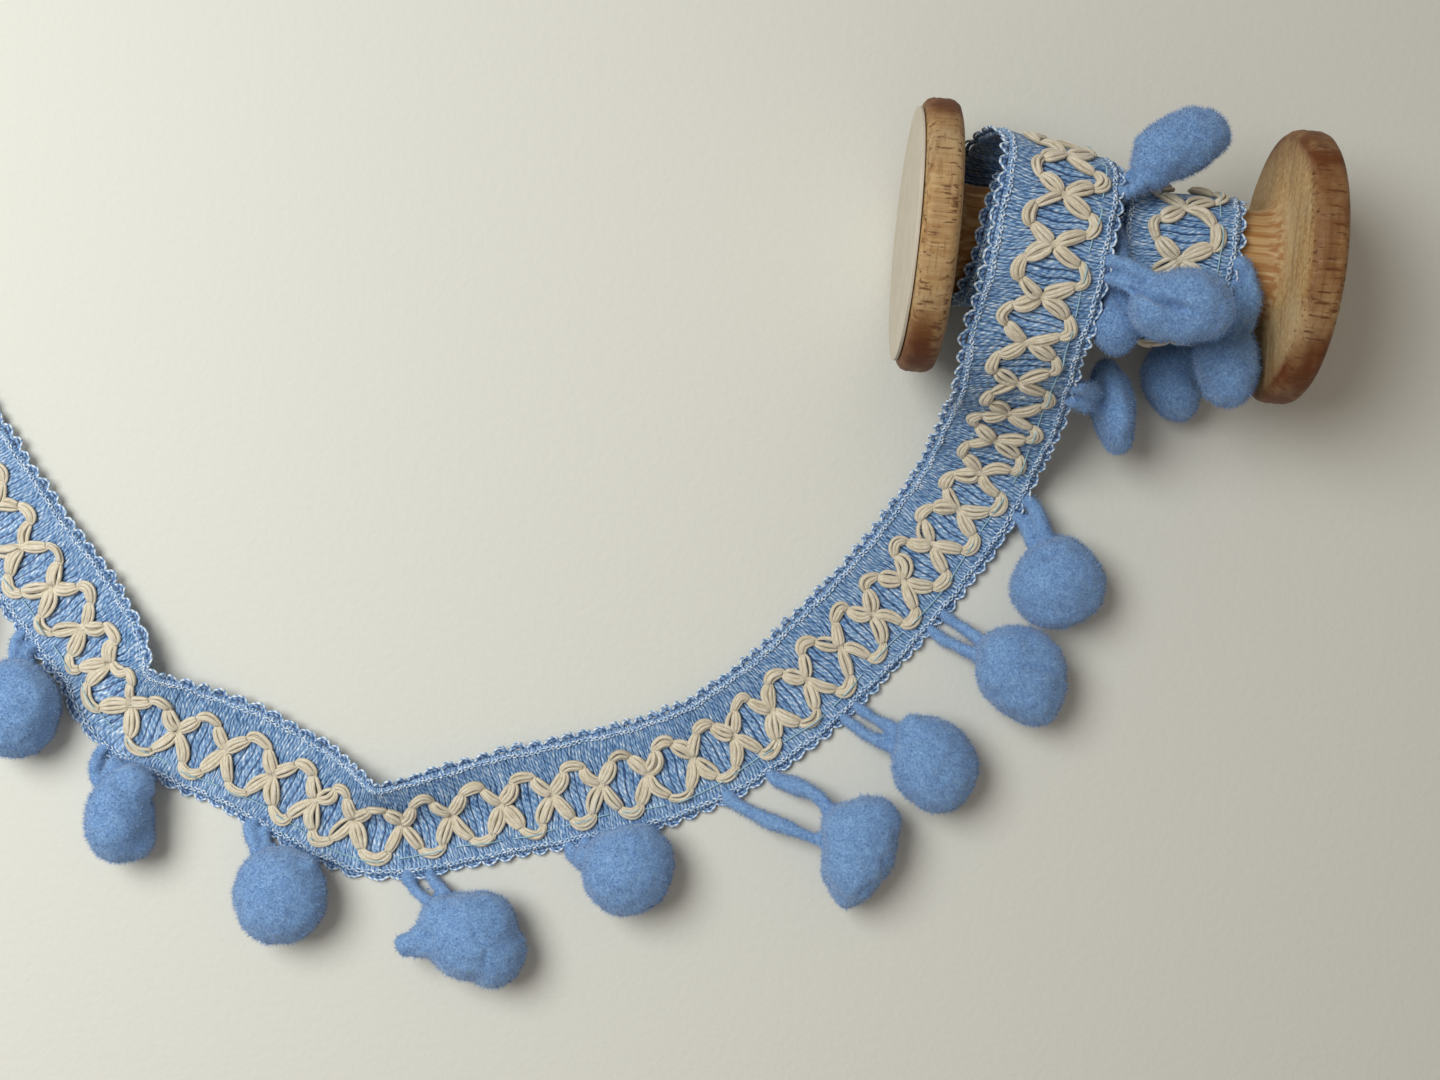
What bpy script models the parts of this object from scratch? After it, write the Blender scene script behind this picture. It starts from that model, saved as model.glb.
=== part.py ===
"""A pompom fringe trim, wound on a turned wooden spool that lies on its side, with its loose end laid
out in a wide bend on the table. All sizes and places are in millimetres until a mesh is made."""

import math

import bmesh
import bpy
import numpy as np
from mathutils import Matrix, Vector

MM = 0.001
GAP = 0.3

# Spool, one turned piece of wood lying on the two flanges
SPOOL_LENGTH = 70.0
FLANGE_RADIUS = 23.7
FLANGE_THICK = 6.5
RIM_ROUND = 1.6
STEM_RADIUS = 9.4
STEM_FLARE = 2.6
SPOOL_SIDES = 40
SPOOL_MIDDLE = (67.85, 50.6)
SPOOL_TURN = -5.6
AXIS_HEIGHT = FLANGE_RADIUS * math.cos(math.pi / SPOOL_SIDES)

# Blank paper disc on the outer face of the left flange
PAPER_RADIUS = FLANGE_RADIUS - RIM_ROUND - 0.1
PAPER_THICK = 0.4

# Braid, counted in motifs: one motif is one crossing of the two cream yarns
BRAID_WIDTH = 19.4
BRAID_THICK = 1.3
MOTIF_PITCH = 9.2
ROWS_PER_MOTIF = 3
BRAID_COLUMNS = 5
LAST_MOTIF = 36.4

# Cream yarns, couched on the face of the braid in two opposite zigzags. One row for each place between
# two crossings: part of a motif past the crossing, distance across, share of the crossing's lift,
# width and height
CROSSING_LIFT = 1.6
CROSSING_SIZE = (0.8, 0.6)
YARN_GAP = 0.5
YARN_TOP = 0.6
YARN_ROWS = (
    (0.16, 2.6, 0.4, 2.2, 1.4),
    (0.28, 4.6, 0.0, 1.1, 0.8),
    (0.5, 5.7, 0.0, 1.9, 1.4),
    (0.72, 4.6, 0.0, 1.1, 0.8),
    (0.84, 2.6, 0.4, 2.2, 1.4),
)

# Pompoms: felt balls, each on a loop of felt cord
CORD_RADIUS = 1.1
CORD_SPREAD = 1.5
CORD_STUB = 1.3
CORD_END = 0.28
BALL_SIDES = 12
BALL_RINGS = 8

# The turns on the spool. Columns: angle round the axis from the top towards the loose end in degrees,
# radius, place along the axis, and how far the picot edge stands out past the middle
WIND = (
    (-85, 10.5, 11.5, 0.0),
    (-45, 10.8, 10.6, 0.0),
    (0, 11.0, 9.9, 0.0),
    (45, 11.9, 8.9, 0.0),
    (80, 13.3, 7.3, 0.0),
    (110, 13.9, 5.0, 0.0),
    (140, 12.7, 2.6, 0.0),
    (170, 11.4, -0.2, 0.0),
    (220, 10.9, -4.6, 0.0),
    (280, 10.8, -9.2, 0.0),
    (335, 10.7, -12.5, 0.0),
    (400, 10.7, -14.6, 0.0),
    (460, 10.8, -16.5, 0.0),
    (500, 11.5, -17.5, 0.0),
    (530, 13.6, -17.8, 0.0),
    (560, 14.9, -17.6, 0.3),
    (600, 15.8, -16.3, 0.9),
    (632, 16.6, -13.6, 1.7),
    (667, 17.5, -11.2, 1.9),
    (693, 17.7, -11.6, 1.5),
    (725, 17.6, -12.7, 0.6),
    (755, 17.6, -13.3, 0.0),
)
WIND_LAST_MOTIF = 3.0
WIND_STEP = 8.0

# The loose end. Columns: motif number, x, y and z of the middle line, and how far the picot edge
# tips up
RUN = (
    (4, 51.9, 34.0, 33.4, 0.3),
    (5, 51.4, 27.9, 26.9, 0.4),
    (6, 51.1, 23.3, 19.2, 0.5),
    (7, 49.8, 18.8, 12.1, 0.5),
    (8, 47.9, 12.9, 5.9, 0.5),
    (9, 44.4, 6.0, 2.2, 0.5),
    (10, 39.6, -0.7, 0.8, 0.6),
    (11, 34.2, -7.5, 0.65, 0.9),
    (13, 22.4, -20.0, 0.65, 0.7),
    (15, 9.7, -31.6, 0.65, 1.3),
    (17, -5.1, -40.6, 0.65, 2.0),
    (18, -13.5, -43.7, 0.65, 1.2),
    (19, -22.1, -45.6, 0.65, 1.8),
    (21, -40.75, -49.3, 0.65, 3.0),
    (22, -50.1, -51.2, 0.65, 4.4),
    (23, -59.4, -52.9, 0.65, 5.6),
    (23.6, -64.8, -52.9, 0.65, 6.2),
    (24.2, -69.8, -51.3, 0.65, 4.6),
    (25, -75.5, -48.4, 0.65, 2.2),
    (26, -83.3, -43.8, 0.65, 1.6),
    (27, -92.2, -39.3, 0.65, 2.0),
    (28, -101.1, -35.6, 0.65, 3.4),
    (28.8, -108.2, -31.9, 0.65, 5.2),
    (29.4, -112.0, -27.6, 0.65, 5.8),
    (30, -113.9, -23.0, 0.65, 4.6),
    (31, -118.8, -16.2, 0.65, 2.2),
    (33, -130.2, -1.2, 0.65, 1.4),
    (35, -140.6, 14.0, 0.65, 1.2),
    (37, -150.6, 29.4, 0.65, 1.0),
)

# Pompoms in order along the trim: motif where the cord leaves the braid, centre, size along its
# heading, across it and upright, heading in degrees, how pointed the far end is, and how far the
# cord bows up on its way
POMPOM_COLUMNS = ("motif", "x", "y", "z", "length", "width", "height", "heading", "point", "bow")
POMPOMS = (
    (-14.6, 88.6, 30.4, 24.0, 15.0, 10.4, 14.0, -87, 0.1, 0.8),
    (-12.6, 83.0, 28.2, 7.4, 16.0, 12.0, 14.6, -78, 0.1, 0.8),
    (-8.2, 66.9, 35.2, 34.8, 11.0, 8.2, 8.6, -92, 0.1, 2.6),
    (-6.0, 55.3, 36.0, 6.7, 13.0, 13.0, 13.6, -80, 0.1, 0.8),
    (-2.4, 69.9, 61.4, 6.0, 14.0, 14.0, 12.0, 20, 0.1, 0.8),
    (0.5, 77.2, 67.0, 36.6, 17.4, 10.4, 10.6, 28, 0.15, 0.8),
    (2.4, 77.4, 38.6, 41.8, 16.0, 12.6, 11.0, -14, 0.1, 0.8),
    (5.4, 71.0, 23.4, 13.0, 18.0, 8.6, 15.0, -78, 0.3, 0.8),
    (8.4, 62.1, -7.9, 7.0, 16.4, 17.4, 14.6, -62, 0.0, 0.8),
    (11.2, 55.5, -24.8, 7.0, 19.4, 16.2, 14.6, -58, 0.1, 0.8),
    (13.8, 39.5, -41.4, 7.0, 17.8, 15.6, 14.6, -80, 0.1, 0.8),
    (16.2, 25.2, -57.0, 7.0, 21.4, 14.4, 14.4, -102, 0.35, 1.2),
    (19.7, -16.9, -60.3, 7.4, 16.4, 16.8, 15.4, -60, 0.0, 0.8),
    (22.6, -46.0, -73.2, 7.0, 17.4, 18.8, 14.6, -70, 0.1, 0.8),
    (25.7, -80.9, -65.2, 7.0, 18.2, 16.8, 14.6, -95, 0.0, 0.8),
    (28.7, -109.9, -48.9, 7.0, 20.4, 12.4, 14.6, -92, 0.0, 0.8),
    (31.5, -129.6, -30.9, 7.0, 18.2, 16.2, 14.6, -88, 0.0, 0.8),
    (34.5, -146.0, -14.2, 7.0, 17.6, 16.4, 14.6, -100, 0.0, 0.8),
)
OPEN_LOOP = 11
OPEN_SPREAD = 2.4
NUB_BALL = 13
NUB_END = (-57.2, -74.0, 7.6)
NUB_RADIUS = 1.7


def clear_scene():
    for thing in list(bpy.data.objects):
        bpy.data.objects.remove(thing, do_unlink=True)


def new_collection(name):
    collection = bpy.data.collections.new(name)
    bpy.context.scene.collection.children.link(collection)
    return collection


def new_material(name, colour, roughness):
    material = bpy.data.materials.new(name)
    material.use_nodes = True
    shader = material.node_tree.nodes["Principled BSDF"]
    shader.inputs["Base Color"].default_value = (*colour, 1.0)
    shader.inputs["Roughness"].default_value = roughness
    shader.inputs["Metallic"].default_value = 0.0
    return material


def new_object(name, bm, collection, material, parent):
    """Puts a bmesh that was drawn in millimetres into a named object."""
    bmesh.ops.scale(bm, vec=(MM, MM, MM), verts=bm.verts)
    mesh = bpy.data.meshes.new(name)
    bm.to_mesh(mesh)
    bm.free()
    mesh.materials.append(material)
    thing = bpy.data.objects.new(name, mesh)
    collection.objects.link(thing)
    thing.parent = parent
    return thing


def smooth_between(knots, values, at):
    """Smooth curve through a table: cubic Hermite pieces, with each knot's slope from its neighbours."""
    knots = np.asarray(knots, float)
    values = np.asarray(values, float)
    slopes = np.gradient(values, knots, axis=0)
    at = np.clip(at, knots[0], knots[-1])
    index = np.clip(np.searchsorted(knots, at, side="right") - 1, 0, len(knots) - 2)
    span = (knots[index + 1] - knots[index])[..., None]
    part = (at - knots[index])[..., None] / span
    start = (2 * part**3 - 3 * part**2 + 1) * values[index]
    start_slope = (part**3 - 2 * part**2 + part) * span * slopes[index]
    end = (3 * part**2 - 2 * part**3) * values[index + 1]
    end_slope = (part**3 - part**2) * span * slopes[index + 1]
    return start + start_slope + end + end_slope


def unit(vectors):
    return vectors / np.linalg.norm(vectors, axis=-1, keepdims=True)


def spool_directions():
    """Along the axis towards the right flange, and level away from it towards the back."""
    turn = math.radians(SPOOL_TURN)
    along = np.array((math.cos(turn), math.sin(turn), 0.0))
    back = np.array((-math.sin(turn), math.cos(turn), 0.0))
    return along, back


class Strip:
    """The middle surface of the braid. A place on it is a motif number along it, a distance across it
    from the middle towards the pompoms, and a height above it."""

    FINE = 24

    def __init__(self):
        motifs, middles, across, tips = self.wound_part()
        run = np.array(RUN)
        self.motifs = np.concatenate([motifs, run[:, 0]])
        table = np.concatenate(
            [np.column_stack([middles, tips]), run[:, 1:]],
        )
        self.first = float(self.motifs[0])
        count = int((LAST_MOTIF - self.first) * self.FINE)
        self.fine = np.linspace(self.first, LAST_MOTIF, count)
        rows = smooth_between(self.motifs, table, self.fine)
        self.middle = rows[:, :3]
        self.middle[:, 2] = np.maximum(self.middle[:, 2], BRAID_THICK / 2)
        self.tip = rows[:, 3]
        self.ahead = unit(np.gradient(self.middle, self.fine, axis=0))
        side = self.side_directions(motifs, across)
        side -= (side * self.ahead).sum(1, keepdims=True) * self.ahead
        self.side = unit(side)
        self.up = np.cross(self.ahead, self.side)

    def wound_part(self):
        """Motif numbers, middles, side directions and tips of the turns on the spool."""
        wind = np.array(WIND, float)
        angles = np.arange(wind[0, 0], wind[-1, 0] + 1, WIND_STEP)
        radius, place, flare = smooth_between(wind[:, 0], wind[:, 1:], angles).T
        along, back = spool_directions()
        turn = np.radians(angles)[:, None]
        outward = -np.sin(turn) * back + np.cos(turn) * np.array((0.0, 0.0, 1.0))
        centre = np.array((*SPOOL_MIDDLE, AXIS_HEIGHT)) + place[:, None] * along
        middles = centre + radius[:, None] * outward
        across = BRAID_WIDTH / 2 * along - flare[:, None] * outward
        steps = np.linalg.norm(np.diff(middles, axis=0), axis=1)
        length = np.concatenate([[0.0], np.cumsum(steps)])
        motifs = WIND_LAST_MOTIF + (length - length[-1]) / MOTIF_PITCH
        return motifs, middles, unit(across), np.zeros(len(angles))

    def side_directions(self, motifs, across):
        """Along the spool's axis on the turns, and level and square to the middle line past them."""
        level = self.ahead[:, [1, 0, 2]] * (-1.0, 1.0, 0.0)
        level = unit(level + 1e-9)
        wound = smooth_between(motifs, across, self.fine)
        share = np.clip((self.fine - WIND_LAST_MOTIF + 1.0) / 2.0, 0.0, 1.0)[:, None]
        return unit(wound * (1 - share) + np.where(share > 0, level, 0.0) * share)

    def at(self, motif, across=0.0, height=0.0):
        def read(rows):
            return np.array([np.interp(motif, self.fine, column) for column in rows.T])

        middle, side, up = read(self.middle), unit(read(self.side)), unit(read(self.up))
        tip = float(np.interp(motif, self.fine, self.tip))
        reach = BRAID_WIDTH / 2
        past = max(-across, 0.0)
        lean = math.asin(min(tip / reach, 0.95))
        sideways = across if past == 0.0 else -past * math.cos(lean)
        lean *= min(past / 2.0, 1.0)
        place = middle + side * sideways + up * (past / reach * tip)
        return Vector(place + height * (up * math.cos(lean) + side * math.sin(lean)))


def make_spool(collection, parent):
    """A turned profile: end face, rounded rim, inner face that flares into the stem, and its mirror."""
    end = SPOOL_LENGTH / 2
    inner = end - FLANGE_THICK
    half = [
        (0.0, end),
        (FLANGE_RADIUS - RIM_ROUND, end),
        (FLANGE_RADIUS - RIM_ROUND / 3, end - RIM_ROUND / 3),
        (FLANGE_RADIUS, end - RIM_ROUND),
        (FLANGE_RADIUS, inner + RIM_ROUND),
        (FLANGE_RADIUS - RIM_ROUND / 3, inner + RIM_ROUND / 3),
        (FLANGE_RADIUS - RIM_ROUND, inner),
        (STEM_RADIUS + STEM_FLARE, inner - 0.5),
        (STEM_RADIUS + STEM_FLARE / 4, inner - 1.0),
        (STEM_RADIUS, inner - STEM_FLARE),
    ]
    profile = half + [(radius, -height) for radius, height in reversed(half)]
    bm = bmesh.new()
    points = [bm.verts.new((radius, 0.0, height)) for radius, height in profile]
    for first, second in zip(points, points[1:]):
        bm.edges.new((first, second))
    wood = new_material("turned_wood", (0.55, 0.36, 0.19), 0.6)
    spool = new_object("spool", bm, collection, wood, parent)
    turn = spool.modifiers.new("turn", "SCREW")
    turn.angle = math.tau
    turn.steps = SPOOL_SIDES
    turn.render_steps = SPOOL_SIDES
    turn.use_merge_vertices = True
    turn.merge_threshold = 1e-5
    facet_down = Matrix.Rotation(math.pi / SPOOL_SIDES, 4, "Z")
    lie_down = Matrix.Rotation(math.pi / 2, 4, "Y")
    heading = Matrix.Rotation(math.radians(SPOOL_TURN), 4, "Z")
    place = Matrix.Translation(Vector((*SPOOL_MIDDLE, AXIS_HEIGHT)) * MM)
    spool.matrix_local = place @ heading @ lie_down @ facet_down
    return spool


def make_paper_disc(collection, parent):
    bm = bmesh.new()
    bmesh.ops.create_cone(
        bm,
        cap_ends=True,
        segments=SPOOL_SIDES,
        radius1=PAPER_RADIUS,
        radius2=PAPER_RADIUS,
        depth=PAPER_THICK,
    )
    paper = new_material("grey_white_paper", (0.72, 0.70, 0.66), 0.7)
    disc = new_object("paper_disc", bm, collection, paper, parent)
    along, _ = spool_directions()
    offset = SPOOL_LENGTH / 2 + GAP + PAPER_THICK / 2
    centre = np.array((*SPOOL_MIDDLE, AXIS_HEIGHT)) - along * offset
    heading = Matrix.Rotation(math.radians(SPOOL_TURN), 4, "Z")
    lie_down = Matrix.Rotation(math.pi / 2, 4, "Y")
    disc.matrix_local = Matrix.Translation(Vector(centre) * MM) @ heading @ lie_down


def make_braid(strip, collection, parent):
    """One continuous woven strip: a flat grid laid onto the strip's surface and given its thickness."""
    rows = int((LAST_MOTIF - strip.first) * ROWS_PER_MOTIF)
    bm = bmesh.new()
    bmesh.ops.create_grid(bm, x_segments=rows, y_segments=BRAID_COLUMNS - 1, size=0.5)
    for vert in bm.verts:
        motif = strip.first + (vert.co.x + 0.5) * (LAST_MOTIF - strip.first)
        vert.co = strip.at(motif, vert.co.y * BRAID_WIDTH)
    blue = new_material("blue_rayon_braid", (0.12, 0.27, 0.55), 0.45)
    braid = new_object("braid", bm, collection, blue, parent)
    wall = braid.modifiers.new("thickness", "SOLIDIFY")
    wall.thickness = BRAID_THICK * MM
    wall.offset = 0.0


def loft(bm, rings):
    """Skins a row of unlike closed sections and closes both ends."""
    made = [[bm.verts.new(point) for point in ring] for ring in rings]
    for first, second in zip(made, made[1:]):
        for i in range(len(first)):
            j = (i + 1) % len(first)
            bm.faces.new((first[i], first[j], second[j], second[i]))
    bm.faces.new(reversed(made[0]))
    bm.faces.new(made[-1])
    bmesh.ops.recalc_face_normals(bm, faces=bm.faces)


def yarn_stations(strip, side, lifted):
    """Motif number, distance across, lift, width and height of the yarn at each crossing, petal and
    cap. The yarn changes sides at every crossing, where it is pinned thin."""
    lift = CROSSING_LIFT if lifted else 0.0
    stations = []
    last = int(LAST_MOTIF)
    for motif in range(math.ceil(strip.first), last + 1):
        stations.append((motif, 0.0, lift, *CROSSING_SIZE))
        if motif == last:
            break
        way = side if motif % 2 else -side
        for past, across, share, width, height in YARN_ROWS:
            stations.append((motif + past, way * across, lift * share, width, height))
    return stations


def make_yarn(name, strip, side, lifted, collection, parent):
    stations = yarn_stations(strip, side, lifted)
    base = BRAID_THICK / 2 + YARN_GAP
    centres = [strip.at(motif, across, base) for motif, across, *_ in stations]
    rings = []
    for i, (motif, across, lift, width, height) in enumerate(stations):
        before = centres[max(i - 1, 0)]
        after = centres[min(i + 1, len(centres) - 1)]
        up = (strip.at(motif, across, 1.0) - strip.at(motif, across)).normalized()
        aside = (after - before).cross(up).normalized()
        foot = centres[i] + up * lift
        rings.append(
            (
                foot - aside * width / 2,
                foot + aside * width / 2,
                foot + aside * width / 2 * YARN_TOP + up * height,
                foot - aside * width / 2 * YARN_TOP + up * height,
            )
        )
    bm = bmesh.new()
    loft(bm, rings)
    cream = bpy.data.materials.get("cream_cotton") or new_material("cream_cotton", (0.60, 0.52, 0.39), 0.9)
    new_object(name, bm, collection, cream, parent)


def ball_mesh(row):
    """A felt ball stretched along its heading, drawn to a point if it has one, and flat underneath
    where it rests on the table."""
    bm = bmesh.new()
    bmesh.ops.create_uvsphere(bm, u_segments=BALL_SIDES, v_segments=BALL_RINGS, radius=1.0)
    half = Vector((row["length"], row["width"], row["height"])) / 2
    for vert in bm.verts:
        thin = 1 - row["point"] * max(vert.co.x, 0.0) ** 2
        vert.co = Vector((vert.co.x * half.x, vert.co.y * half.y * thin, vert.co.z * half.z))
    heading = Matrix.Rotation(math.radians(row["heading"]), 4, "Z")
    place = Matrix.Translation((row["x"], row["y"], row["z"]))
    bmesh.ops.transform(bm, matrix=place @ heading, verts=bm.verts)
    for vert in bm.verts:
        vert.co.z = max(vert.co.z, 0.0)
    return bm


def cord_mesh(points, radius):
    """A round cord through some points, as a closed mesh."""
    curve = bpy.data.curves.new("cord", "CURVE")
    curve.dimensions = "3D"
    curve.bevel_depth = radius
    curve.bevel_resolution = 1
    curve.use_fill_caps = True
    spline = curve.splines.new("POLY")
    spline.points.add(len(points) - 1)
    for point, place in zip(spline.points, points):
        point.co = (*place, 1.0)
    thing = bpy.data.objects.new("cord", curve)
    bpy.context.scene.collection.objects.link(thing)
    graph = bpy.context.evaluated_depsgraph_get()
    mesh = bpy.data.meshes.new_from_object(thing.evaluated_get(graph))
    bm = bmesh.new()
    bm.from_mesh(mesh)
    bmesh.ops.remove_doubles(bm, verts=bm.verts, dist=1e-4)
    bmesh.ops.recalc_face_normals(bm, faces=bm.faces)
    bpy.data.objects.remove(thing, do_unlink=True)
    bpy.data.meshes.remove(mesh)
    return bm


def join_solids(ball, others, cutters):
    """A Boolean union of the ball with its cords, kept as modifiers on the ball."""
    for number, other in enumerate(others):
        other.hide_render = True
        other.display_type = "WIRE"
        join = ball.modifiers.new(f"join_{number}", "BOOLEAN")
        join.operation = "UNION"
        join.solver = "EXACT"
        join.object = other
        for collection in list(other.users_collection):
            collection.objects.unlink(other)
        cutters.objects.link(other)


def cord_routes(strip, row, open_loop):
    """The two legs of a cord, from the braid's edge into the ball."""
    centre = Vector((row["x"], row["y"], row["z"]))
    edge = strip.at(row["motif"], BRAID_WIDTH / 2)
    ball_near = centre + (edge - centre).normalized() * row["width"] * CORD_END
    pitch = (strip.at(row["motif"] + 0.5) - strip.at(row["motif"] - 0.5)).length
    floor = CORD_RADIUS + 0.05
    routes = []
    for way in (-1, 1):
        motif = row["motif"] + way * CORD_SPREAD / pitch * (OPEN_SPREAD if open_loop else 1.0)
        start = strip.at(motif, BRAID_WIDTH / 2 + GAP)
        stub = strip.at(motif, BRAID_WIDTH / 2 + GAP + CORD_STUB)
        inside = ball_near.copy()
        for point in (start, stub, inside):
            point.z = max(point.z, floor)
        bow = (stub + inside) / 2
        bow.z += row["bow"]
        routes.append((start, stub, bow, inside))
    return routes


def make_pompoms(strip, collection, cutters, parent):
    felt = new_material("cornflower_blue_felt", (0.16, 0.33, 0.66), 0.95)
    for number, values in enumerate(POMPOMS):
        row = dict(zip(POMPOM_COLUMNS, values))
        name = f"pompom_{number + 1:02d}"
        ball = new_object(name, ball_mesh(row), collection, felt, parent)
        cords = [cord_mesh(route, CORD_RADIUS) for route in cord_routes(strip, row, number == OPEN_LOOP)]
        if number == NUB_BALL:
            centre = Vector((row["x"], row["y"], row["z"]))
            cords.append(cord_mesh((centre, Vector(NUB_END)), NUB_RADIUS))
        solids = [
            new_object(f"{name}_cord_{leg}", cord, cutters, felt, parent)
            for leg, cord in enumerate(cords)
        ]
        join_solids(ball, solids, cutters)


def centre_on_floor(collection, parent):
    """Moves everything so that the middle of its box is above the origin and its foot is at zero."""
    bpy.context.view_layer.update()
    graph = bpy.context.evaluated_depsgraph_get()
    corners = []
    for thing in collection.objects:
        mesh = thing.evaluated_get(graph).to_mesh()
        corners += [thing.matrix_world @ vert.co for vert in mesh.vertices]
        thing.evaluated_get(graph).to_mesh_clear()
    corners = np.array(corners)
    low, high = corners.min(axis=0), corners.max(axis=0)
    parent.location = (-(low[0] + high[0]) / 2, -(low[1] + high[1]) / 2, -low[2])


def main():
    clear_scene()
    collection = new_collection("pompom_fringe_trim_on_spool")
    cutters = new_collection("cutters")
    parent = bpy.data.objects.new("trim_on_spool", None)
    bpy.context.scene.collection.objects.link(parent)
    strip = Strip()
    make_spool(collection, parent)
    make_paper_disc(collection, parent)
    make_braid(strip, collection, parent)
    make_yarn("cream_yarn_under", strip, 1, False, collection, parent)
    make_yarn("cream_yarn_over", strip, -1, True, collection, parent)
    make_pompoms(strip, collection, cutters, parent)
    centre_on_floor(collection, parent)


main()
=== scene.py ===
"""A pompom fringe trim on a turned wooden spool, dressed in woven rayon, cotton yarn and wool felt.

Sizes and places are in millimetres until a mesh is made. A place on the braid is a motif number along
it, a distance across it from the middle towards the pompoms, and a height above its middle surface."""

import math

import bmesh
import bpy
import numpy as np
from mathutils import Matrix, Vector, noise


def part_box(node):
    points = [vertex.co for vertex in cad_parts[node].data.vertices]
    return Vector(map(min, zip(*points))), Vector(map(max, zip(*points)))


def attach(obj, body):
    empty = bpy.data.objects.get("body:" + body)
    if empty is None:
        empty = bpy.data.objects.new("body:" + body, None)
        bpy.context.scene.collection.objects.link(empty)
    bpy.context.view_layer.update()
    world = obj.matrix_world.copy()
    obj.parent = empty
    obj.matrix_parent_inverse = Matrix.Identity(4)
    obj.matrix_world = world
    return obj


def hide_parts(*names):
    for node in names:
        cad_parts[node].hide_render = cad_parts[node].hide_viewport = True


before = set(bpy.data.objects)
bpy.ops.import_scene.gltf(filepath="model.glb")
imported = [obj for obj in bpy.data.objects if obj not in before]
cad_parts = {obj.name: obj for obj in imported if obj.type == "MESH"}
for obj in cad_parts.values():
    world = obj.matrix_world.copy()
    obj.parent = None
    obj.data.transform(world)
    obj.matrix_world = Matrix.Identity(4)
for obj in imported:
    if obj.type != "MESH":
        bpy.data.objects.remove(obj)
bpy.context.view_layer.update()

bl_info = {
    "name": "Pompom fringe trim",
    "version": (1, 0, 0),
    "blender": (4, 5, 0),
    "location": "3D View > Sidebar > Trim",
    "description": "Dresses the solids of a pompom fringe trim on a wooden spool",
    "category": "Object",
}

MM = 0.001
BODY = "root"

SPOOL_MIDDLE = (67.85, 50.3)
SPOOL_TURN = math.radians(-5.05)
SPOOL_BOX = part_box("spool")
AXIS_HEIGHT = (SPOOL_BOX[0].z + SPOOL_BOX[1].z) / 2 / MM
SHIFT = np.array(
    (
        (SPOOL_BOX[0].x + SPOOL_BOX[1].x) / 2 / MM - SPOOL_MIDDLE[0],
        (SPOOL_BOX[0].y + SPOOL_BOX[1].y) / 2 / MM - SPOOL_MIDDLE[1],
        0.0,
    )
)
# Half of the spool's outline: radius, and height along the axis from its middle
RIM_PROFILE = (
    (0.0, 35.0),
    (14.0, 34.96),
    (21.6, 34.9),
    (22.7, 34.65),
    (23.35, 34.1),
    (23.68, 33.2),
    (23.6, 32.7),
    (23.7, 32.2),
    (23.62, 31.4),
    (23.7, 30.6),
    (23.5, 29.7),
    (22.9, 28.9),
    (21.8, 28.5),
    (18.5, 28.35),
    (14.0, 28.2),
    (11.6, 27.9),
    (10.3, 27.2),
    (9.7, 26.3),
    (9.4, 25.0),
    (9.4, 12.0),
)
PAPER_RADIUS = 22.0
PAPER_THICK = 0.62
PAPER_OFFSET = 35.39

BRAID_WIDTH = 19.4
EDGE = BRAID_WIDTH / 2
CLOTH_THICK = 0.9
MOTIF_PITCH = 9.2
LAST_MOTIF = 36.4
THREAD_PITCH = 0.58
BRAID_COLUMNS = 21
YARN_MIDDLE = 0.45
YARN_REACH = 5.4
YARN_FADE = 0.8
PICOTS_PER_MOTIF = 3

# The turns on the spool. Columns: angle round the axis from the top towards the loose end in degrees,
# radius, place along the axis, and how far the picot edge stands out past the middle
WIND = (
    (-85, 10.5, 11.5, 0.0),
    (-45, 10.8, 10.6, 0.0),
    (0, 11.0, 9.9, 0.0),
    (45, 11.9, 8.9, 0.0),
    (80, 13.3, 7.3, 0.0),
    (110, 13.9, 5.0, 0.0),
    (140, 12.7, 2.6, 0.0),
    (170, 11.4, -0.2, 0.0),
    (220, 10.9, -4.6, 0.0),
    (280, 10.8, -9.2, 0.0),
    (335, 10.7, -12.5, 0.0),
    (400, 10.7, -14.6, 0.0),
    (460, 10.8, -16.5, 0.0),
    (500, 11.5, -17.5, 0.0),
    (530, 13.6, -17.8, 0.0),
    (560, 14.9, -17.6, 0.3),
    (600, 15.8, -16.3, 0.9),
    (632, 16.6, -13.6, 1.7),
    (667, 17.5, -11.2, 1.9),
    (693, 17.7, -11.6, 1.5),
    (725, 17.6, -12.7, 0.6),
    (755, 17.6, -13.3, 0.0),
)
WIND_LAST_MOTIF = 3.0
WIND_STEP = 8.0

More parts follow.
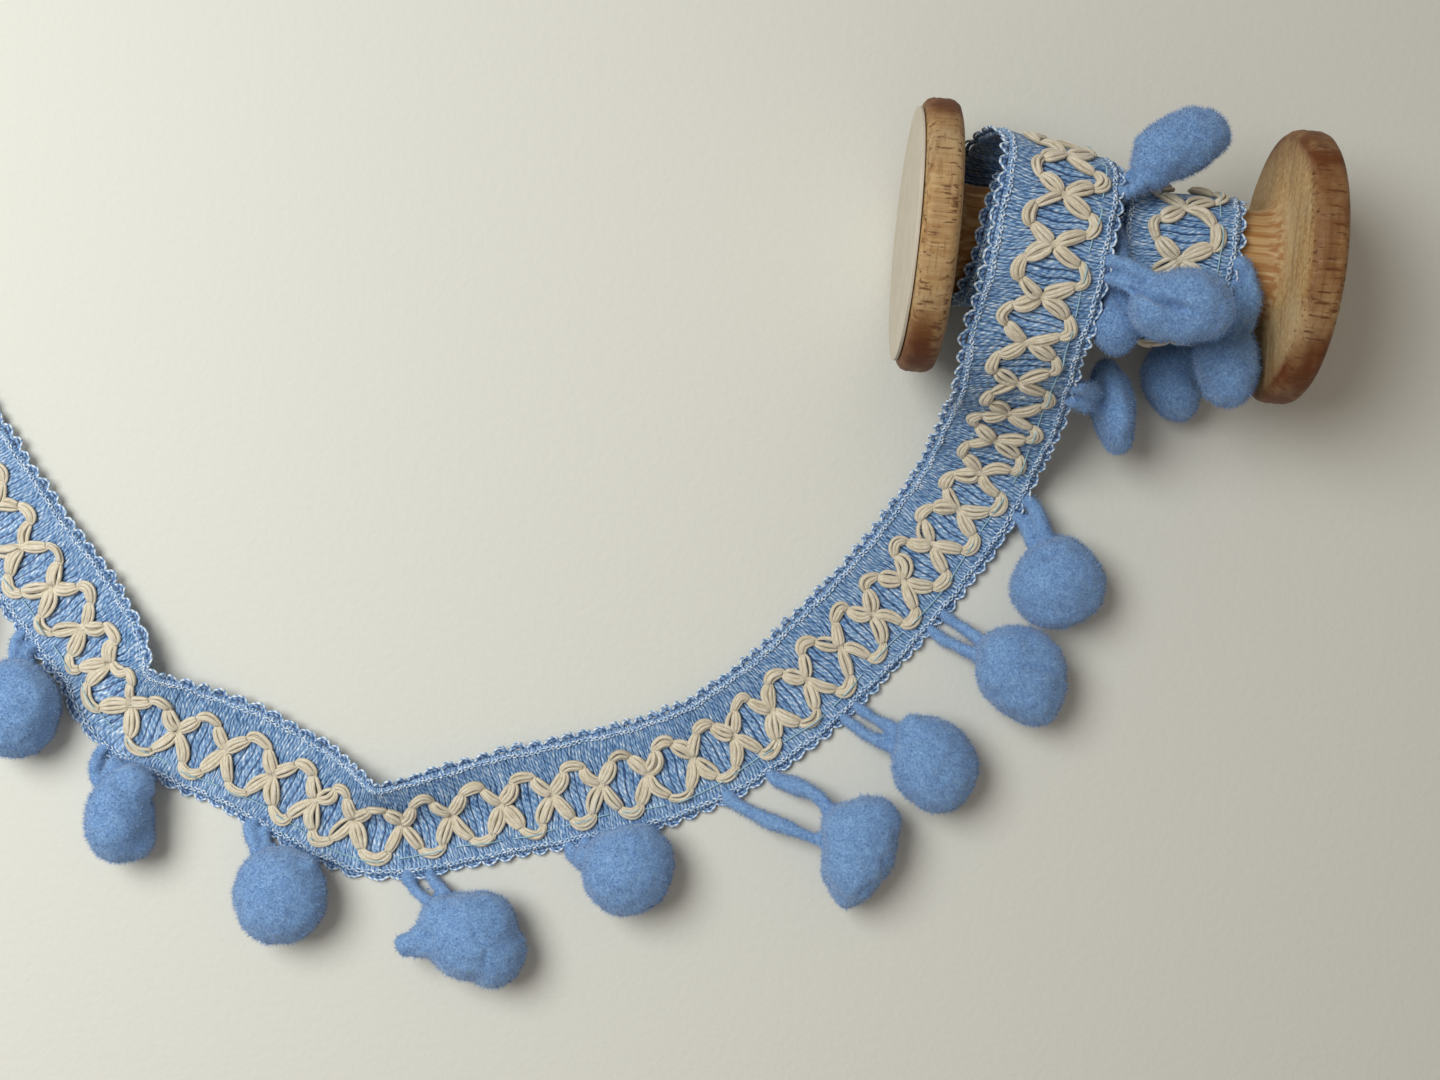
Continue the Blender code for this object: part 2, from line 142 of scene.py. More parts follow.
# The loose end. Columns: motif number, x, y and z of the middle line, and how far the picot edge
# tips up
RUN = (
    (4, 51.9, 34.0, 33.4, 0.3),
    (5, 51.4, 27.9, 26.9, 0.4),
    (6, 51.1, 23.3, 19.2, 0.5),
    (7, 49.8, 18.8, 12.1, 0.5),
    (8, 47.9, 12.9, 5.9, 0.5),
    (9, 44.4, 6.0, 2.2, 0.5),
    (10, 39.6, -0.7, 0.8, 0.6),
    (11, 34.2, -7.5, 0.65, 0.9),
    (13, 22.4, -20.0, 0.65, 0.7),
    (15, 9.7, -31.6, 0.65, 1.3),
    (17, -5.1, -40.6, 0.65, 2.0),
    (18, -13.5, -43.7, 0.65, 1.2),
    (19, -22.1, -45.6, 0.65, 1.8),
    (21, -40.75, -49.3, 0.65, 3.0),
    (22, -50.1, -51.2, 0.65, 4.4),
    (23, -59.4, -52.9, 0.65, 5.6),
    (23.6, -64.8, -52.9, 0.65, 6.2),
    (24.2, -69.8, -51.3, 0.65, 4.6),
    (25, -75.5, -48.4, 0.65, 2.2),
    (26, -83.3, -43.8, 0.65, 1.6),
    (27, -92.2, -39.3, 0.65, 2.0),
    (28, -101.1, -35.6, 0.65, 3.4),
    (28.8, -108.2, -31.9, 0.65, 5.2),
    (29.4, -112.0, -27.6, 0.65, 5.8),
    (30, -113.9, -23.0, 0.65, 4.6),
    (31, -118.8, -16.2, 0.65, 2.2),
    (33, -130.2, -1.2, 0.65, 1.4),
    (35, -140.6, 14.0, 0.65, 1.2),
    (37, -150.6, 29.4, 0.65, 1.0),
)
TABLE_HEIGHT = 0.65

# Pompoms in order along the trim: motif where the cord leaves the braid, centre, size along its
# heading, across it and upright, heading in degrees, how pointed the far end is, and how far the
# cord bows up on its way
POMPOM_COLUMNS = ("motif", "x", "y", "z", "length", "width", "height", "heading", "point", "bow")
POMPOMS = (
    (-15.9, 88.6, 30.8, 24.0, 15.4, 10.8, 14.0, -87, 0.1, 2.2),
    (-12.6, 83.2, 29.0, 7.2, 14.6, 10.4, 14.2, -74, 0.25, 0.8),
    (-8.2, 66.9, 36.4, 34.8, 9.6, 8.2, 8.6, -92, 0.0, 2.6),
    (-6.0, 55.3, 36.0, 6.7, 13.0, 13.0, 13.6, -80, 0.1, 0.8),
    (-2.4, 69.9, 61.4, 6.0, 14.0, 14.0, 12.0, 20, 0.1, 0.8),
    (0.5, 77.4, 66.4, 36.6, 17.0, 10.8, 10.6, 24, 0.05, 0.8),
    (2.4, 77.4, 38.6, 41.8, 16.0, 12.6, 11.0, -14, 0.1, 0.8),
    (5.4, 70.7, 24.2, 13.0, 17.2, 7.0, 15.0, -78, 0.3, 0.8),
    (8.4, 62.1, -7.9, 7.0, 16.4, 17.4, 14.6, -62, 0.0, 0.8),
    (11.2, 55.5, -24.8, 7.0, 19.6, 16.0, 14.6, -58, 0.25, 0.8),
    (13.8, 39.5, -41.4, 7.0, 17.8, 15.6, 14.6, -80, 0.1, 0.8),
    (16.2, 25.4, -57.4, 7.0, 21.0, 13.6, 14.4, -104, 0.4, 1.2),
    (19.7, -16.9, -60.3, 7.4, 16.4, 16.8, 15.4, -60, 0.0, 0.8),
    (22.78, -45.4, -72.8, 7.0, 16.8, 17.2, 14.6, -70, 0.1, 0.8),
    (25.7, -80.9, -65.2, 7.0, 18.2, 16.8, 14.6, -95, 0.0, 0.8),
    (28.7, -110.4, -50.8, 7.0, 16.8, 11.4, 14.4, -92, 0.0, 0.8),
    (31.5, -129.6, -30.9, 7.0, 18.2, 16.2, 14.6, -88, 0.0, 0.8),
    (34.5, -146.0, -14.2, 7.0, 17.6, 16.4, 14.6, -100, 0.0, 0.8),
)
OPEN_LOOP = 12
OPEN_SPREAD = 2.4
OPEN_BOW = 1.3
OPEN_RADIUS = 1.5
CORD_RADIUS = 1.28
CORD_SPREAD = 1.58
CORD_HALF_GAP = 1.33
CORD_STUB = 1.3
CORD_END = 0.28
CORD_STATIONS = 18
CORD_SIDES = 12

# How far the cords of some pompoms swing out sideways on their way
SIDE_BOWS = {1: (1.4, 0.0), 12: (0.6, 1.0), 16: (-1.2, 0.2)}

# Extra lumps of felt on some pompoms: number of the pompom, x, y, z and radius
LUMPS = (
    (2, 84.6, 32.6, 9.0, 4.6),
    (6, 81.6, 67.8, 36.6, 4.2),
    (6, 72.8, 62.8, 36.6, 3.8),
    (7, 72.6, 38.2, 41.4, 5.2),
    (11, 35.4, -35.0, 7.4, 2.8),
    (12, 27.9, -52.3, 7.0, 5.2),
    (12, 23.8, -53.4, 7.0, 5.3),
    (12, 27.8, -57.8, 7.0, 4.6),
    (13, -24.2, -58.8, 5.6, 2.6),
    (14, -57.6, -74.4, 7.2, 2.2),
    (14, -55.8, -74.0, 7.2, 2.6),
    (14, -53.8, -73.2, 7.2, 3.4),
    (14, -50.2, -70.2, 7.0, 5.0),
    (14, -42.0, -75.6, 7.0, 6.4),
    (15, -76.6, -60.4, 7.4, 3.2),
    (16, -111.9, -41.6, 6.2, 1.9),
    (16, -113.0, -43.6, 6.2, 1.8),
    (16, -108.2, -45.2, 7.2, 4.2),
    (16, -112.2, -48.4, 6.6, 3.8),
    (16, -108.0, -55.0, 6.6, 3.9),
    (16, -111.4, -54.8, 6.6, 3.9),
)
# Creases pressed into the felt: number of the pompom, from x, y to x, y, depth and width
CREASES = (
    (6, 69.4, 61.8, 74.6, 60.0, 0.7, 0.6),
    (7, 67.0, 41.4, 76.6, 37.4, 2.3, 0.8),
    (9, 57.8, -3.0, 62.4, -1.6, 0.9, 0.6),
    (10, 50.8, -21.6, 61.6, -24.2, 0.9, 0.6),
    (11, 33.4, -37.0, 37.6, -35.8, 0.8, 0.6),
    (12, 29.6, -57.4, 30.2, -62.6, 0.6, 0.6),
    (12, 24.8, -64.6, 29.0, -61.4, 0.5, 0.6),
    (14, -45.4, -68.6, -42.4, -73.2, 0.35, 0.6),
    (14, -42.4, -73.2, -42.0, -78.4, 0.4, 0.6),
)


def hex_colour(text):
    """An sRGB hex value such as 6C90C1, turned to the linear colour that a shader takes."""
    parts = [int(text[i : i + 2], 16) / 255 for i in (0, 2, 4)]
    return (*[c / 12.92 if c <= 0.04045 else ((c + 0.055) / 1.055) ** 2.4 for c in parts], 1.0)


def unit(vectors):
    return vectors / np.linalg.norm(vectors, axis=-1, keepdims=True)


def smooth_between(knots, values, at):
    """Smooth curve through a table: cubic Hermite pieces, sloped at each knot by its neighbours."""
    knots = np.asarray(knots, float)
    values = np.asarray(values, float)
    slopes = np.gradient(values, knots, axis=0)
    at = np.clip(at, knots[0], knots[-1])
    index = np.clip(np.searchsorted(knots, at, side="right") - 1, 0, len(knots) - 2)
    span = (knots[index + 1] - knots[index])[..., None]
    part = (at - knots[index])[..., None] / span
    start = (2 * part**3 - 3 * part**2 + 1) * values[index]
    start_slope = (part**3 - 2 * part**2 + part) * span * slopes[index]
    end = (3 * part**2 - 2 * part**3) * values[index + 1]
    end_slope = (part**3 - part**2) * span * slopes[index + 1]
    return start + start_slope + end + end_slope


def spool_directions():
    """Along the axis towards the right flange, and level away from it towards the back."""
    along = np.array((math.cos(SPOOL_TURN), math.sin(SPOOL_TURN), 0.0))
    back = np.array((-math.sin(SPOOL_TURN), math.cos(SPOOL_TURN), 0.0))
    return along, back


class Strip:
    """The middle surface of the braid, from the two tables."""

    FINE = 24

    def __init__(self):
        motifs, middles, across, tips = self.wound_part()
        run = np.array(RUN)
        knots = np.concatenate([motifs, run[:, 0]])
        table = np.concatenate([np.column_stack([middles, tips]), run[:, 1:]])
        self.first = float(knots[0])
        self.fine = np.linspace(self.first, LAST_MOTIF, int((LAST_MOTIF - self.first) * self.FINE))
        rows = smooth_between(knots, table, self.fine)
        self.middle = rows[:, :3]
        self.middle[:, 2] = np.maximum(self.middle[:, 2], TABLE_HEIGHT)
        self.tip = rows[:, 3]
        self.ahead = unit(np.gradient(self.middle, self.fine, axis=0))
        side = self.side_directions(motifs, across)
        side -= (side * self.ahead).sum(1, keepdims=True) * self.ahead
        self.side = unit(side)
        self.up = np.cross(self.ahead, self.side)
        steps = np.linalg.norm(np.diff(self.middle, axis=0), axis=1)
        self.run_length = np.concatenate([[0.0], np.cumsum(steps)])
        self.length = float(self.run_length[-1])

    def wound_part(self):
        """Motif numbers, middles, side directions and tips of the turns on the spool."""
        wind = np.array(WIND, float)
        angles = np.arange(wind[0, 0], wind[-1, 0] + 1, WIND_STEP)
        radius, place, flare = smooth_between(wind[:, 0], wind[:, 1:], angles).T
        along, back = spool_directions()
        turn = np.radians(angles)[:, None]
        outward = -np.sin(turn) * back + np.cos(turn) * np.array((0.0, 0.0, 1.0))
        centre = np.array((*SPOOL_MIDDLE, AXIS_HEIGHT)) + place[:, None] * along
        middles = centre + radius[:, None] * outward
        across = BRAID_WIDTH / 2 * along - flare[:, None] * outward
        steps = np.linalg.norm(np.diff(middles, axis=0), axis=1)
        length = np.concatenate([[0.0], np.cumsum(steps)])
        motifs = WIND_LAST_MOTIF + (length - length[-1]) / MOTIF_PITCH
        return motifs, middles, unit(across), np.zeros(len(angles))

    def side_directions(self, motifs, across):
        """Along the spool's axis on the turns, and level and square to the middle line past them."""
        level = self.ahead[:, [1, 0, 2]] * (-1.0, 1.0, 0.0)
        level = unit(level + 1e-9)
        wound = smooth_between(motifs, across, self.fine)
        share = np.clip((self.fine - WIND_LAST_MOTIF + 1.0) / 2.0, 0.0, 1.0)[:, None]
        return unit(wound * (1 - share) + np.where(share > 0, level, 0.0) * share)

    def motif_at(self, length):
        """The motif number at a length in millimetres from the hidden start."""
        return np.interp(length, self.run_length, self.fine)

    def frame_at(self, motif, across):
        """Places on the surface, and the directions out of it there."""

        def read(rows):
            return np.column_stack([np.interp(motif, self.fine, column) for column in rows.T])

        middle, side, up = read(self.middle), unit(read(self.side)), unit(read(self.up))
        tip = np.interp(motif, self.fine, self.tip)
        past = np.maximum(-across, 0.0)
        lean = np.arcsin(np.minimum(tip / EDGE, 0.95))
        sideways = np.where(across >= 0.0, across, -past * np.cos(lean))
        lean = lean * np.minimum(past / 2.0, 1.0)
        place = middle + side * sideways[:, None] + up * (past / EDGE * tip)[:, None]
        out = up * np.cos(lean)[:, None] + side * np.sin(lean)[:, None]
        return place, out

    def points(self, motif, across, height=0.0):
        motif, across, height = np.broadcast_arrays(
            np.asarray(motif, float), np.asarray(across, float), np.asarray(height, float)
        )
        place, out = self.frame_at(motif, across)
        return place + out * height[:, None]


STRIP = Strip()


# Mesh helpers


def to_row(points):
    return (np.asarray(points, float) + SHIFT) * MM


def mesh_of(bm, name):
    """The mesh of a bmesh that is done with."""
    mesh = bpy.data.meshes.new(name)
    bm.to_mesh(mesh)
    bm.free()
    return mesh


def linked(name, data):
    """A new object in the scene."""
    thing = bpy.data.objects.new(name, data)
    bpy.context.scene.collection.objects.link(thing)
    return thing


def laid_grid(rows, columns, place, pattern=None):
    """A flat grid moved point by point to place(along, across), both from 0 to 1. pattern gives its
    UV map from the same two numbers."""
    bm = bmesh.new()
    bmesh.ops.create_grid(bm, x_segments=rows, y_segments=columns, size=0.5)
    mesh = mesh_of(bm, "laid")
    flat = np.empty(len(mesh.vertices) * 3, np.float32)
    mesh.vertices.foreach_get("co", flat)
    along, across, _ = flat.reshape(-1, 3).astype(float).T + 0.5
    if pattern is not None:
        corners = np.empty(len(mesh.loops), np.int32)
        mesh.loops.foreach_get("vertex_index", corners)
        pairs = np.column_stack(pattern(along, across))[corners]
        layer = mesh.uv_layers.new(name="weave")
        layer.uv.foreach_set("vector", pairs.astype(np.float32).ravel())
    mesh.vertices.foreach_set("co", to_row(place(along, across)).astype(np.float32).ravel())
    return mesh


def laid_tube(centre, aside, up, wide, high, sides):
    """A grid rolled up round a path, with both ends drawn to a point. Its UV map is the length along
    the path in millimetres and the turn round it."""
    rows = len(centre) - 1
    wide = np.array(np.broadcast_to(wide, len(centre)), float)
    high = np.array(np.broadcast_to(high, len(centre)), float)
    wide[[0, -1]] = 0.0
    high[[0, -1]] = 0.0
    steps = np.linalg.norm(np.diff(centre, axis=0), axis=1)
    length = np.concatenate([[0.0], np.cumsum(steps)])

    def place(along, around):
        i = np.rint(along * rows).astype(int)
        turn = math.tau * around
        level = aside[i] * (np.cos(turn) * wide[i])[:, None]
        return centre[i] + level + up[i] * (np.sin(turn) * high[i])[:, None]

    def pattern(along, around):
        return length[np.rint(along * rows).astype(int)], around

    return laid_grid(rows, sides, place, pattern)


def path_tube(motif, across, height, wide, high, sides):
    """A tube along a path on the braid."""
    centre = STRIP.points(motif, across, height)
    _, out = STRIP.frame_at(motif, across)
    ahead = unit(np.gradient(centre, axis=0))
    aside = unit(np.cross(ahead, out))
    up = np.cross(aside, ahead)
    return laid_tube(centre, aside, up, wide, high, sides)


def finished(name, meshes, material, merge=1e-7):
    """Joins meshes into one closed, smooth object that rides on the body."""
    bm = bmesh.new()
    for mesh in meshes:
        bm.from_mesh(mesh)
        bpy.data.meshes.remove(mesh)
    if merge:
        bmesh.ops.remove_doubles(bm, verts=bm.verts, dist=merge)
    bmesh.ops.recalc_face_normals(bm, faces=bm.faces)
    mesh = mesh_of(bm, name)
    mesh.shade_smooth()
    mesh.materials.append(material)
    piece = linked(name, mesh)
    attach(piece, BODY)
    return piece


# Material helpers


def add_node(tree, kind, inputs=None, stops=None, **settings):
    """Adds one node. settings are its properties, inputs its sockets' values or the sockets that feed
    them, and stops the places and colours of a ramp."""
    node = tree.nodes.new(kind)
    for key, value in settings.items():
        setattr(node, key, value)
    for key, value in (inputs or {}).items():
        if isinstance(value, bpy.types.NodeSocket):
            tree.links.new(value, node.inputs[key])
        else:
            node.inputs[key].default_value = value
    if stops:
        elements = node.color_ramp.elements
        while len(elements) < len(stops):
            elements.new(0.5)
        for element, (place, colour) in zip(elements, stops):
            element.position = place
            element.color = hex_colour(colour)
    return node


def new_material(name, roughness, **sockets):
    """An empty principled material: its tree and its shader."""
    material = bpy.data.materials.new(name)
    material.use_nodes = True
    tree = material.node_tree
    shader = tree.nodes["Principled BSDF"]
    shader.inputs["Roughness"].default_value = roughness
    for key, value in sockets.items():
        shader.inputs[key.replace("_", " ")].default_value = value
    return material, tree, shader


def weave_map(tree):
    """The UV map that a laid grid carries."""
    return add_node(tree, "ShaderNodeUVMap", uv_map="weave").outputs["UV"]


def object_place(tree):
    return add_node(tree, "ShaderNodeTexCoord").outputs["Object"]


def split(tree, vector):
    return add_node(tree, "ShaderNodeSeparateXYZ", {"Vector": vector}).outputs


def scaled(tree, vector, scale):
    return add_node(tree, "ShaderNodeMapping", {"Vector": vector, "Scale": scale}).outputs[0]


def maths(tree, operation, *values, **settings):
    inputs = dict(enumerate(values))
    return add_node(tree, "ShaderNodeMath", inputs, operation=operation, **settings).outputs[0]


def clouds(tree, vector, scale, detail, roughness=0.5, **sockets):
    """The value of a noise texture."""
    inputs = {"Vector": vector, "Scale": scale, "Detail": detail, "Roughness": roughness, **sockets}
    return add_node(tree, "ShaderNodeTexNoise", inputs).outputs["Fac"]


def ranged(tree, value, low, high, least=0.0, most=1.0, kind="SMOOTHSTEP"):
    """A value's way from low to high, turned to one from least to most."""
    inputs = {"Value": value, "From Min": low, "From Max": high, "To Min": least, "To Max": most}
    return add_node(tree, "ShaderNodeMapRange", inputs, interpolation_type=kind).outputs["Result"]


def ramp(tree, value, *stops):
    return add_node(tree, "ShaderNodeValToRGB", {"Fac": value}, stops=stops).outputs["Color"]


def blend(tree, share, under, over):
    """A share of one colour laid over another."""
    inputs = {"Factor": share, "A": under, "B": hex_colour(over)}
    return add_node(tree, "ShaderNodeMix", inputs, data_type="RGBA").outputs["Result"]


def coat(tree, shader, height, strength, colour=None, depth=0.0002):
    """Gives the shader its relief, depth metres deep, and its colour."""
    inputs = {"Height": height, "Strength": strength, "Distance": depth}
    bump = add_node(tree, "ShaderNodeBump", inputs)
    tree.links.new(bump.outputs[0], shader.inputs["Normal"])
    if colour:
        tree.links.new(colour, shader.inputs["Base Color"])


def woven_rayon(name, floats, gaps):
    """Rayon weft beaten up over warp. Its floats are twisted and satin: light blue on their crests and
    navy in the gaps between them, where the navy is painted shade, with short whitish glints painted
    as highlights where a ply turns to the light.
    Threads and glints are drawn coarser than real ones, so that they show."""
    material, tree, shader = new_material(name, 0.42, Sheen_Weight=0.15, Sheen_Roughness=0.4)
    weave = weave_map(tree)
    place = split(tree, weave)
    thread = maths(tree, "ROUND", place["Y"])
    off = maths(tree, "SUBTRACT", place["Y"], thread)
    own = add_node(tree, "ShaderNodeTexWhiteNoise", {"W": thread}, noise_dimensions="1D")
    # The plies turn once in 1.3 mm, so they cross a thread as short slanting dashes, painted lighter
    # as highlights
    slant = maths(tree, "MULTIPLY_ADD", off, 0.9, own.outputs["Value"])
    turn = maths(tree, "MULTIPLY_ADD", place["X"], 0.77, slant)
    ply = maths(tree, "PINGPONG", turn, 0.5)
    spot = add_node(tree, "ShaderNodeCombineXYZ", {"X": place["X"], "Y": thread, "Z": off})
    # Painted highlight: this noise lightens short stretches of each thread into whitish glints, and
    # also feeds the bump
    painted_glint = clouds(tree, scaled(tree, spot.outputs[0], (0.7, 3.7, 2.4)), 1.0, 3.0, 0.7)
    broad = clouds(tree, weave, 0.35, 2.0)
    painted_ply_highlight = maths(tree, "MULTIPLY_ADD", ply, 0.4, -0.2)
    mixed = maths(tree, "MULTIPLY_ADD", painted_glint, 1.36, painted_ply_highlight)
    shifted = maths(tree, "MULTIPLY_ADD", broad, 0.3, mixed)
    satin = ramp(tree, shifted, *zip((0.48, 0.6, 0.74, 0.88, 1.0), floats))
    # Painted shade: between the yarns every second gap stands open and is painted dark, and nearer the
    # edges all gaps are painted alike
    odd = maths(tree, "MODULO", maths(tree, "FLOOR", place["Y"]), 2.0)
    lift = maths(tree, "MULTIPLY_ADD", odd, 0.45, -0.22)
    plain = maths(tree, "MULTIPLY_ADD", odd, 0.3, 0.5)
    outward = maths(tree, "ABSOLUTE", maths(tree, "SUBTRACT", place["X"], YARN_MIDDLE))
    paired = ranged(tree, outward, YARN_REACH - YARN_FADE, YARN_REACH, 1.0, 0.0, "LINEAR")
    open_gap = maths(tree, "MULTIPLY_ADD", paired, lift, plain)
    gap = ranged(tree, maths(tree, "ABSOLUTE", off), 0.18, 0.46, kind="LINEAR")
    # The gaps are painted towards the navy gap colour, as shade
    painted_gap_shade = maths(tree, "MULTIPLY", gap, open_gap, use_clamp=True)
    coat(tree, shader, maths(tree, "ADD", ply, painted_glint), 0.6, blend(tree, painted_gap_shade, satin, gaps))
    return material


def twisted_rayon(name, dark, light, painted_glint):
    """The same rayon plied into a cord: slanting plies, with painted shade between them and painted
    glints on top.
    """
    material, tree, shader = new_material(name, 0.36, Sheen_Weight=0.1)
    weave = weave_map(tree)
    # 1.1 mm of cord to a turn of its plies
    place = split(tree, scaled(tree, weave, (0.9, 1.0, 1.0)))
    ply = maths(tree, "PINGPONG", maths(tree, "ADD", place["X"], place["Y"]), 0.5)
    level = maths(tree, "MULTIPLY_ADD", ply, 0.9, clouds(tree, weave, 1.7, 2.0, 0.6))
    # Painted light: the ramp paints the cord dark between its plies as shade and near white on top as
    # glints
    coat(tree, shader, ply, 0.6, ramp(tree, level, (0.45, dark), (0.68, light), (0.9, painted_glint)))
    return material


def cotton_yarn():
    """Soft unmercerised cotton, three-ply: matt cream, painted a little darker at the sides of each
    ply as shade between its fibres.
    """
    material, tree, shader = new_material(
        "soft_cotton_yarn", 0.85, Sheen_Weight=0.35, Sheen_Roughness=0.6
    )
    weave = weave_map(tree)
    # Fibres lie along the yarn, 1.3 mm long and 0.2 mm across, coarser than real ones so they show
    strand = clouds(tree, scaled(tree, weave, (0.5, 6.0, 1.0)), 1.6, 3.0, 0.6)
    level = maths(tree, "MULTIPLY_ADD", clouds(tree, weave, 0.16, 1.0), 0.4, strand)
    cream = ramp(tree, level, (0.45, "B3A588"), (0.66, "D6CAAF"), (0.9, "ECE5D2"))
    # The sides of a ply lie in the groove beside the next one, where fibres hold the shadow; that
    # shadow is painted there as a darker cream
    side = maths(tree, "ABSOLUTE", maths(tree, "SUBTRACT", split(tree, weave)["Y"], 0.25))
    painted_groove_shade = ranged(tree, side, 0.11, 0.25, 0.0, 0.6)
    coat(tree, shader, strand, 0.6, blend(tree, painted_groove_shade, cream, "8F8066"))
    return material


def wool_felt():
    """Wool felt, rolled and shrunk: quite matt, faintly mottled, with a halo of loose fibre."""
    material, tree, shader = new_material(
        "rolled_wool_felt", 0.95, Sheen_Weight=0.35, Sheen_Roughness=0.5
    )
    place = object_place(tree)
    # Mottling 2 mm across and matted fibre 0.4 mm across, coarser than real wool so that it shows
    mottle = clouds(tree, place, 450.0, 3.0, 0.6)
    fibre = clouds(tree, place, 2600.0, 3.0, 0.7, Distortion=0.6)
    level = maths(tree, "MULTIPLY_ADD", mottle, 0.2, fibre)
    colour = ramp(tree, level, (0.46, "648BBE"), (0.6, "769DCB"), (0.74, "8DB3DA"))
    coat(tree, shader, fibre, 0.5, colour, depth=0.0003)
    return material


def plain_thread(name, colour, roughness):
    """Fine sewing thread, too thin for its plies to show."""
    material, _, shader = new_material(name, roughness)
    shader.inputs["Base Color"].default_value = hex_colour(colour)
    return material


def turned_beech():
    """Beech turned on a lathe, then scorched by toasting at its rims: straight tan grain along the
    axis with short dark pores, pale end grain on the flanges, and brown scorched edges; towards front
    and back of the flanges the same brown is painted shade."""
    material, tree, shader = new_material("turned_toasted_beech_with_painted_shade", 0.6, Specular_IOR_Level=0.3)
    centred = {
        "Vector": object_place(tree),
        "Location": tuple(to_row((*SPOOL_MIDDLE, AXIS_HEIGHT))),
        "Rotation": (0.0, 0.0, SPOOL_TURN),
    }
    local = add_node(tree, "ShaderNodeMapping", centred, vector_type="TEXTURE").outputs[0]
    parts = split(tree, local)
    cross = scaled(tree, local, (0.0, 1.0, 1.0))
    radius = add_node(tree, "ShaderNodeVectorMath", {0: cross}, operation="LENGTH").outputs["Value"]

    def streaks(scale, detail):
        return clouds(tree, scaled(tree, local, scale), 1.0, detail, 0.6)

    def product(first, second):
        return maths(tree, "MULTIPLY", first, second)

    # Grain lines 0.9 mm apart and 30 mm long
    grain = streaks((33.0, 1100.0, 1100.0), 4.0)
    wood = ramp(tree, grain, (0.3, "A67B48"), (0.45, "BC945B"), (0.58, "CCAA74"), (0.72, "DABD8E"))
    # Broad paler and greyer patches where the wood was sanded
    sanded = ranged(tree, streaks((60.0, 60.0, 60.0), 3.0), 0.4, 0.7, 0.1, 0.7)
    pale = blend(tree, sanded, wood, "C8B28A")
    # On the flanges the saw left streaks across the grain, 1.4 mm apart
    face = ranged(tree, radius, 0.0115, 0.014)
    sawn = ranged(tree, streaks((1500.0, 60.0, 700.0), 2.0), 0.5, 0.68, 0.0, 0.5)
    pale = blend(tree, product(face, sawn), pale, "8A6A45")
    # The stem keeps a darker, redder grain
    stem = ranged(tree, radius, 0.0098, 0.0125, 0.75, 0.0)
    stripe = ranged(tree, streaks((22.0, 800.0, 800.0), 2.0), 0.42, 0.6, 0.25, 1.0)
    inner = ranged(tree, maths(tree, "ABSOLUTE", parts["X"]), 0.0285, 0.0305, 1.0, 0.0)
    stemmed = blend(tree, product(product(stem, inner), stripe), pale, "94591B")
    # Scorching, strong on the rims and stronger on the right flange, and painted shade in the same
    # brown towards front and back, where the round flanges turn away from the light above
    rim = ranged(tree, radius, 0.0212, 0.0236)
    right = ranged(tree, parts["X"], -0.02, 0.02, 0.4, 0.8)
    # Painted shade: darker towards front and back, where the round flanges turn away from the light
    # above
    end = ranged(tree, maths(tree, "ABSOLUTE", parts["Y"]), 0.011, 0.0235, 0.0, 0.75)
    near_rim = ranged(tree, radius, 0.014, 0.0225, 0.15, 1.0)
    both = maths(tree, "ADD", product(rim, right), product(near_rim, end), use_clamp=True)
    patch = ranged(tree, streaks((120.0, 70.0, 70.0), 3.0), 0.3, 0.6, 0.5, 1.0)
    scorched_and_shaded = blend(tree, product(both, patch), stemmed, "68360E")
    # Pores 0.7 mm across and 4 mm long, drawn wider than real ones so that they show
    pores = ranged(tree, streaks((250.0, 1400.0, 1400.0), 2.0), 0.54, 0.67)
    depth = ranged(tree, radius, 0.0205, 0.0228, 0.12, 0.8)
    coat(tree, shader, grain, 0.3, blend(tree, product(pores, depth), scorched_and_shaded, "5A3010"))
    return material


def matt_paper():
    """Uncoated label paper, blank and a little grey."""
    material, tree, shader = new_material("uncoated_paper", 0.8)
    fleck = clouds(tree, object_place(tree), 220.0, 3.0)
    colour = ramp(tree, fleck, (0.3, "C7BFAD"), (0.7, "D0C8B6"))
    tree.links.new(colour, shader.inputs["Base Color"])
    return material


# Pieces


def slanted(motif, across):
    """Millimetres that a weft thread drifts along the braid as it crosses, in slow waves."""
    wave = 0.5 * np.sin(across * 0.33 + motif * 2.1) + 0.35 * np.sin(across * 0.9 + motif * 0.7)
    fan = 0.55 * np.sin(math.tau * motif) * np.exp(-((across / 4.2) ** 2))
    return wave * 0.45 - fan


def braid_surface(along, across):
    """Motif, distance across and thread number of each point of the braid's grid."""
    length = along * STRIP.length
    side = (across - 0.5) * BRAID_WIDTH
    plain = STRIP.motif_at(length)
    drift = slanted(plain, side) * np.clip(np.minimum(along, 1 - along) * 40, 0, 1)
    return STRIP.motif_at(length + drift), side, length / THREAD_PITCH


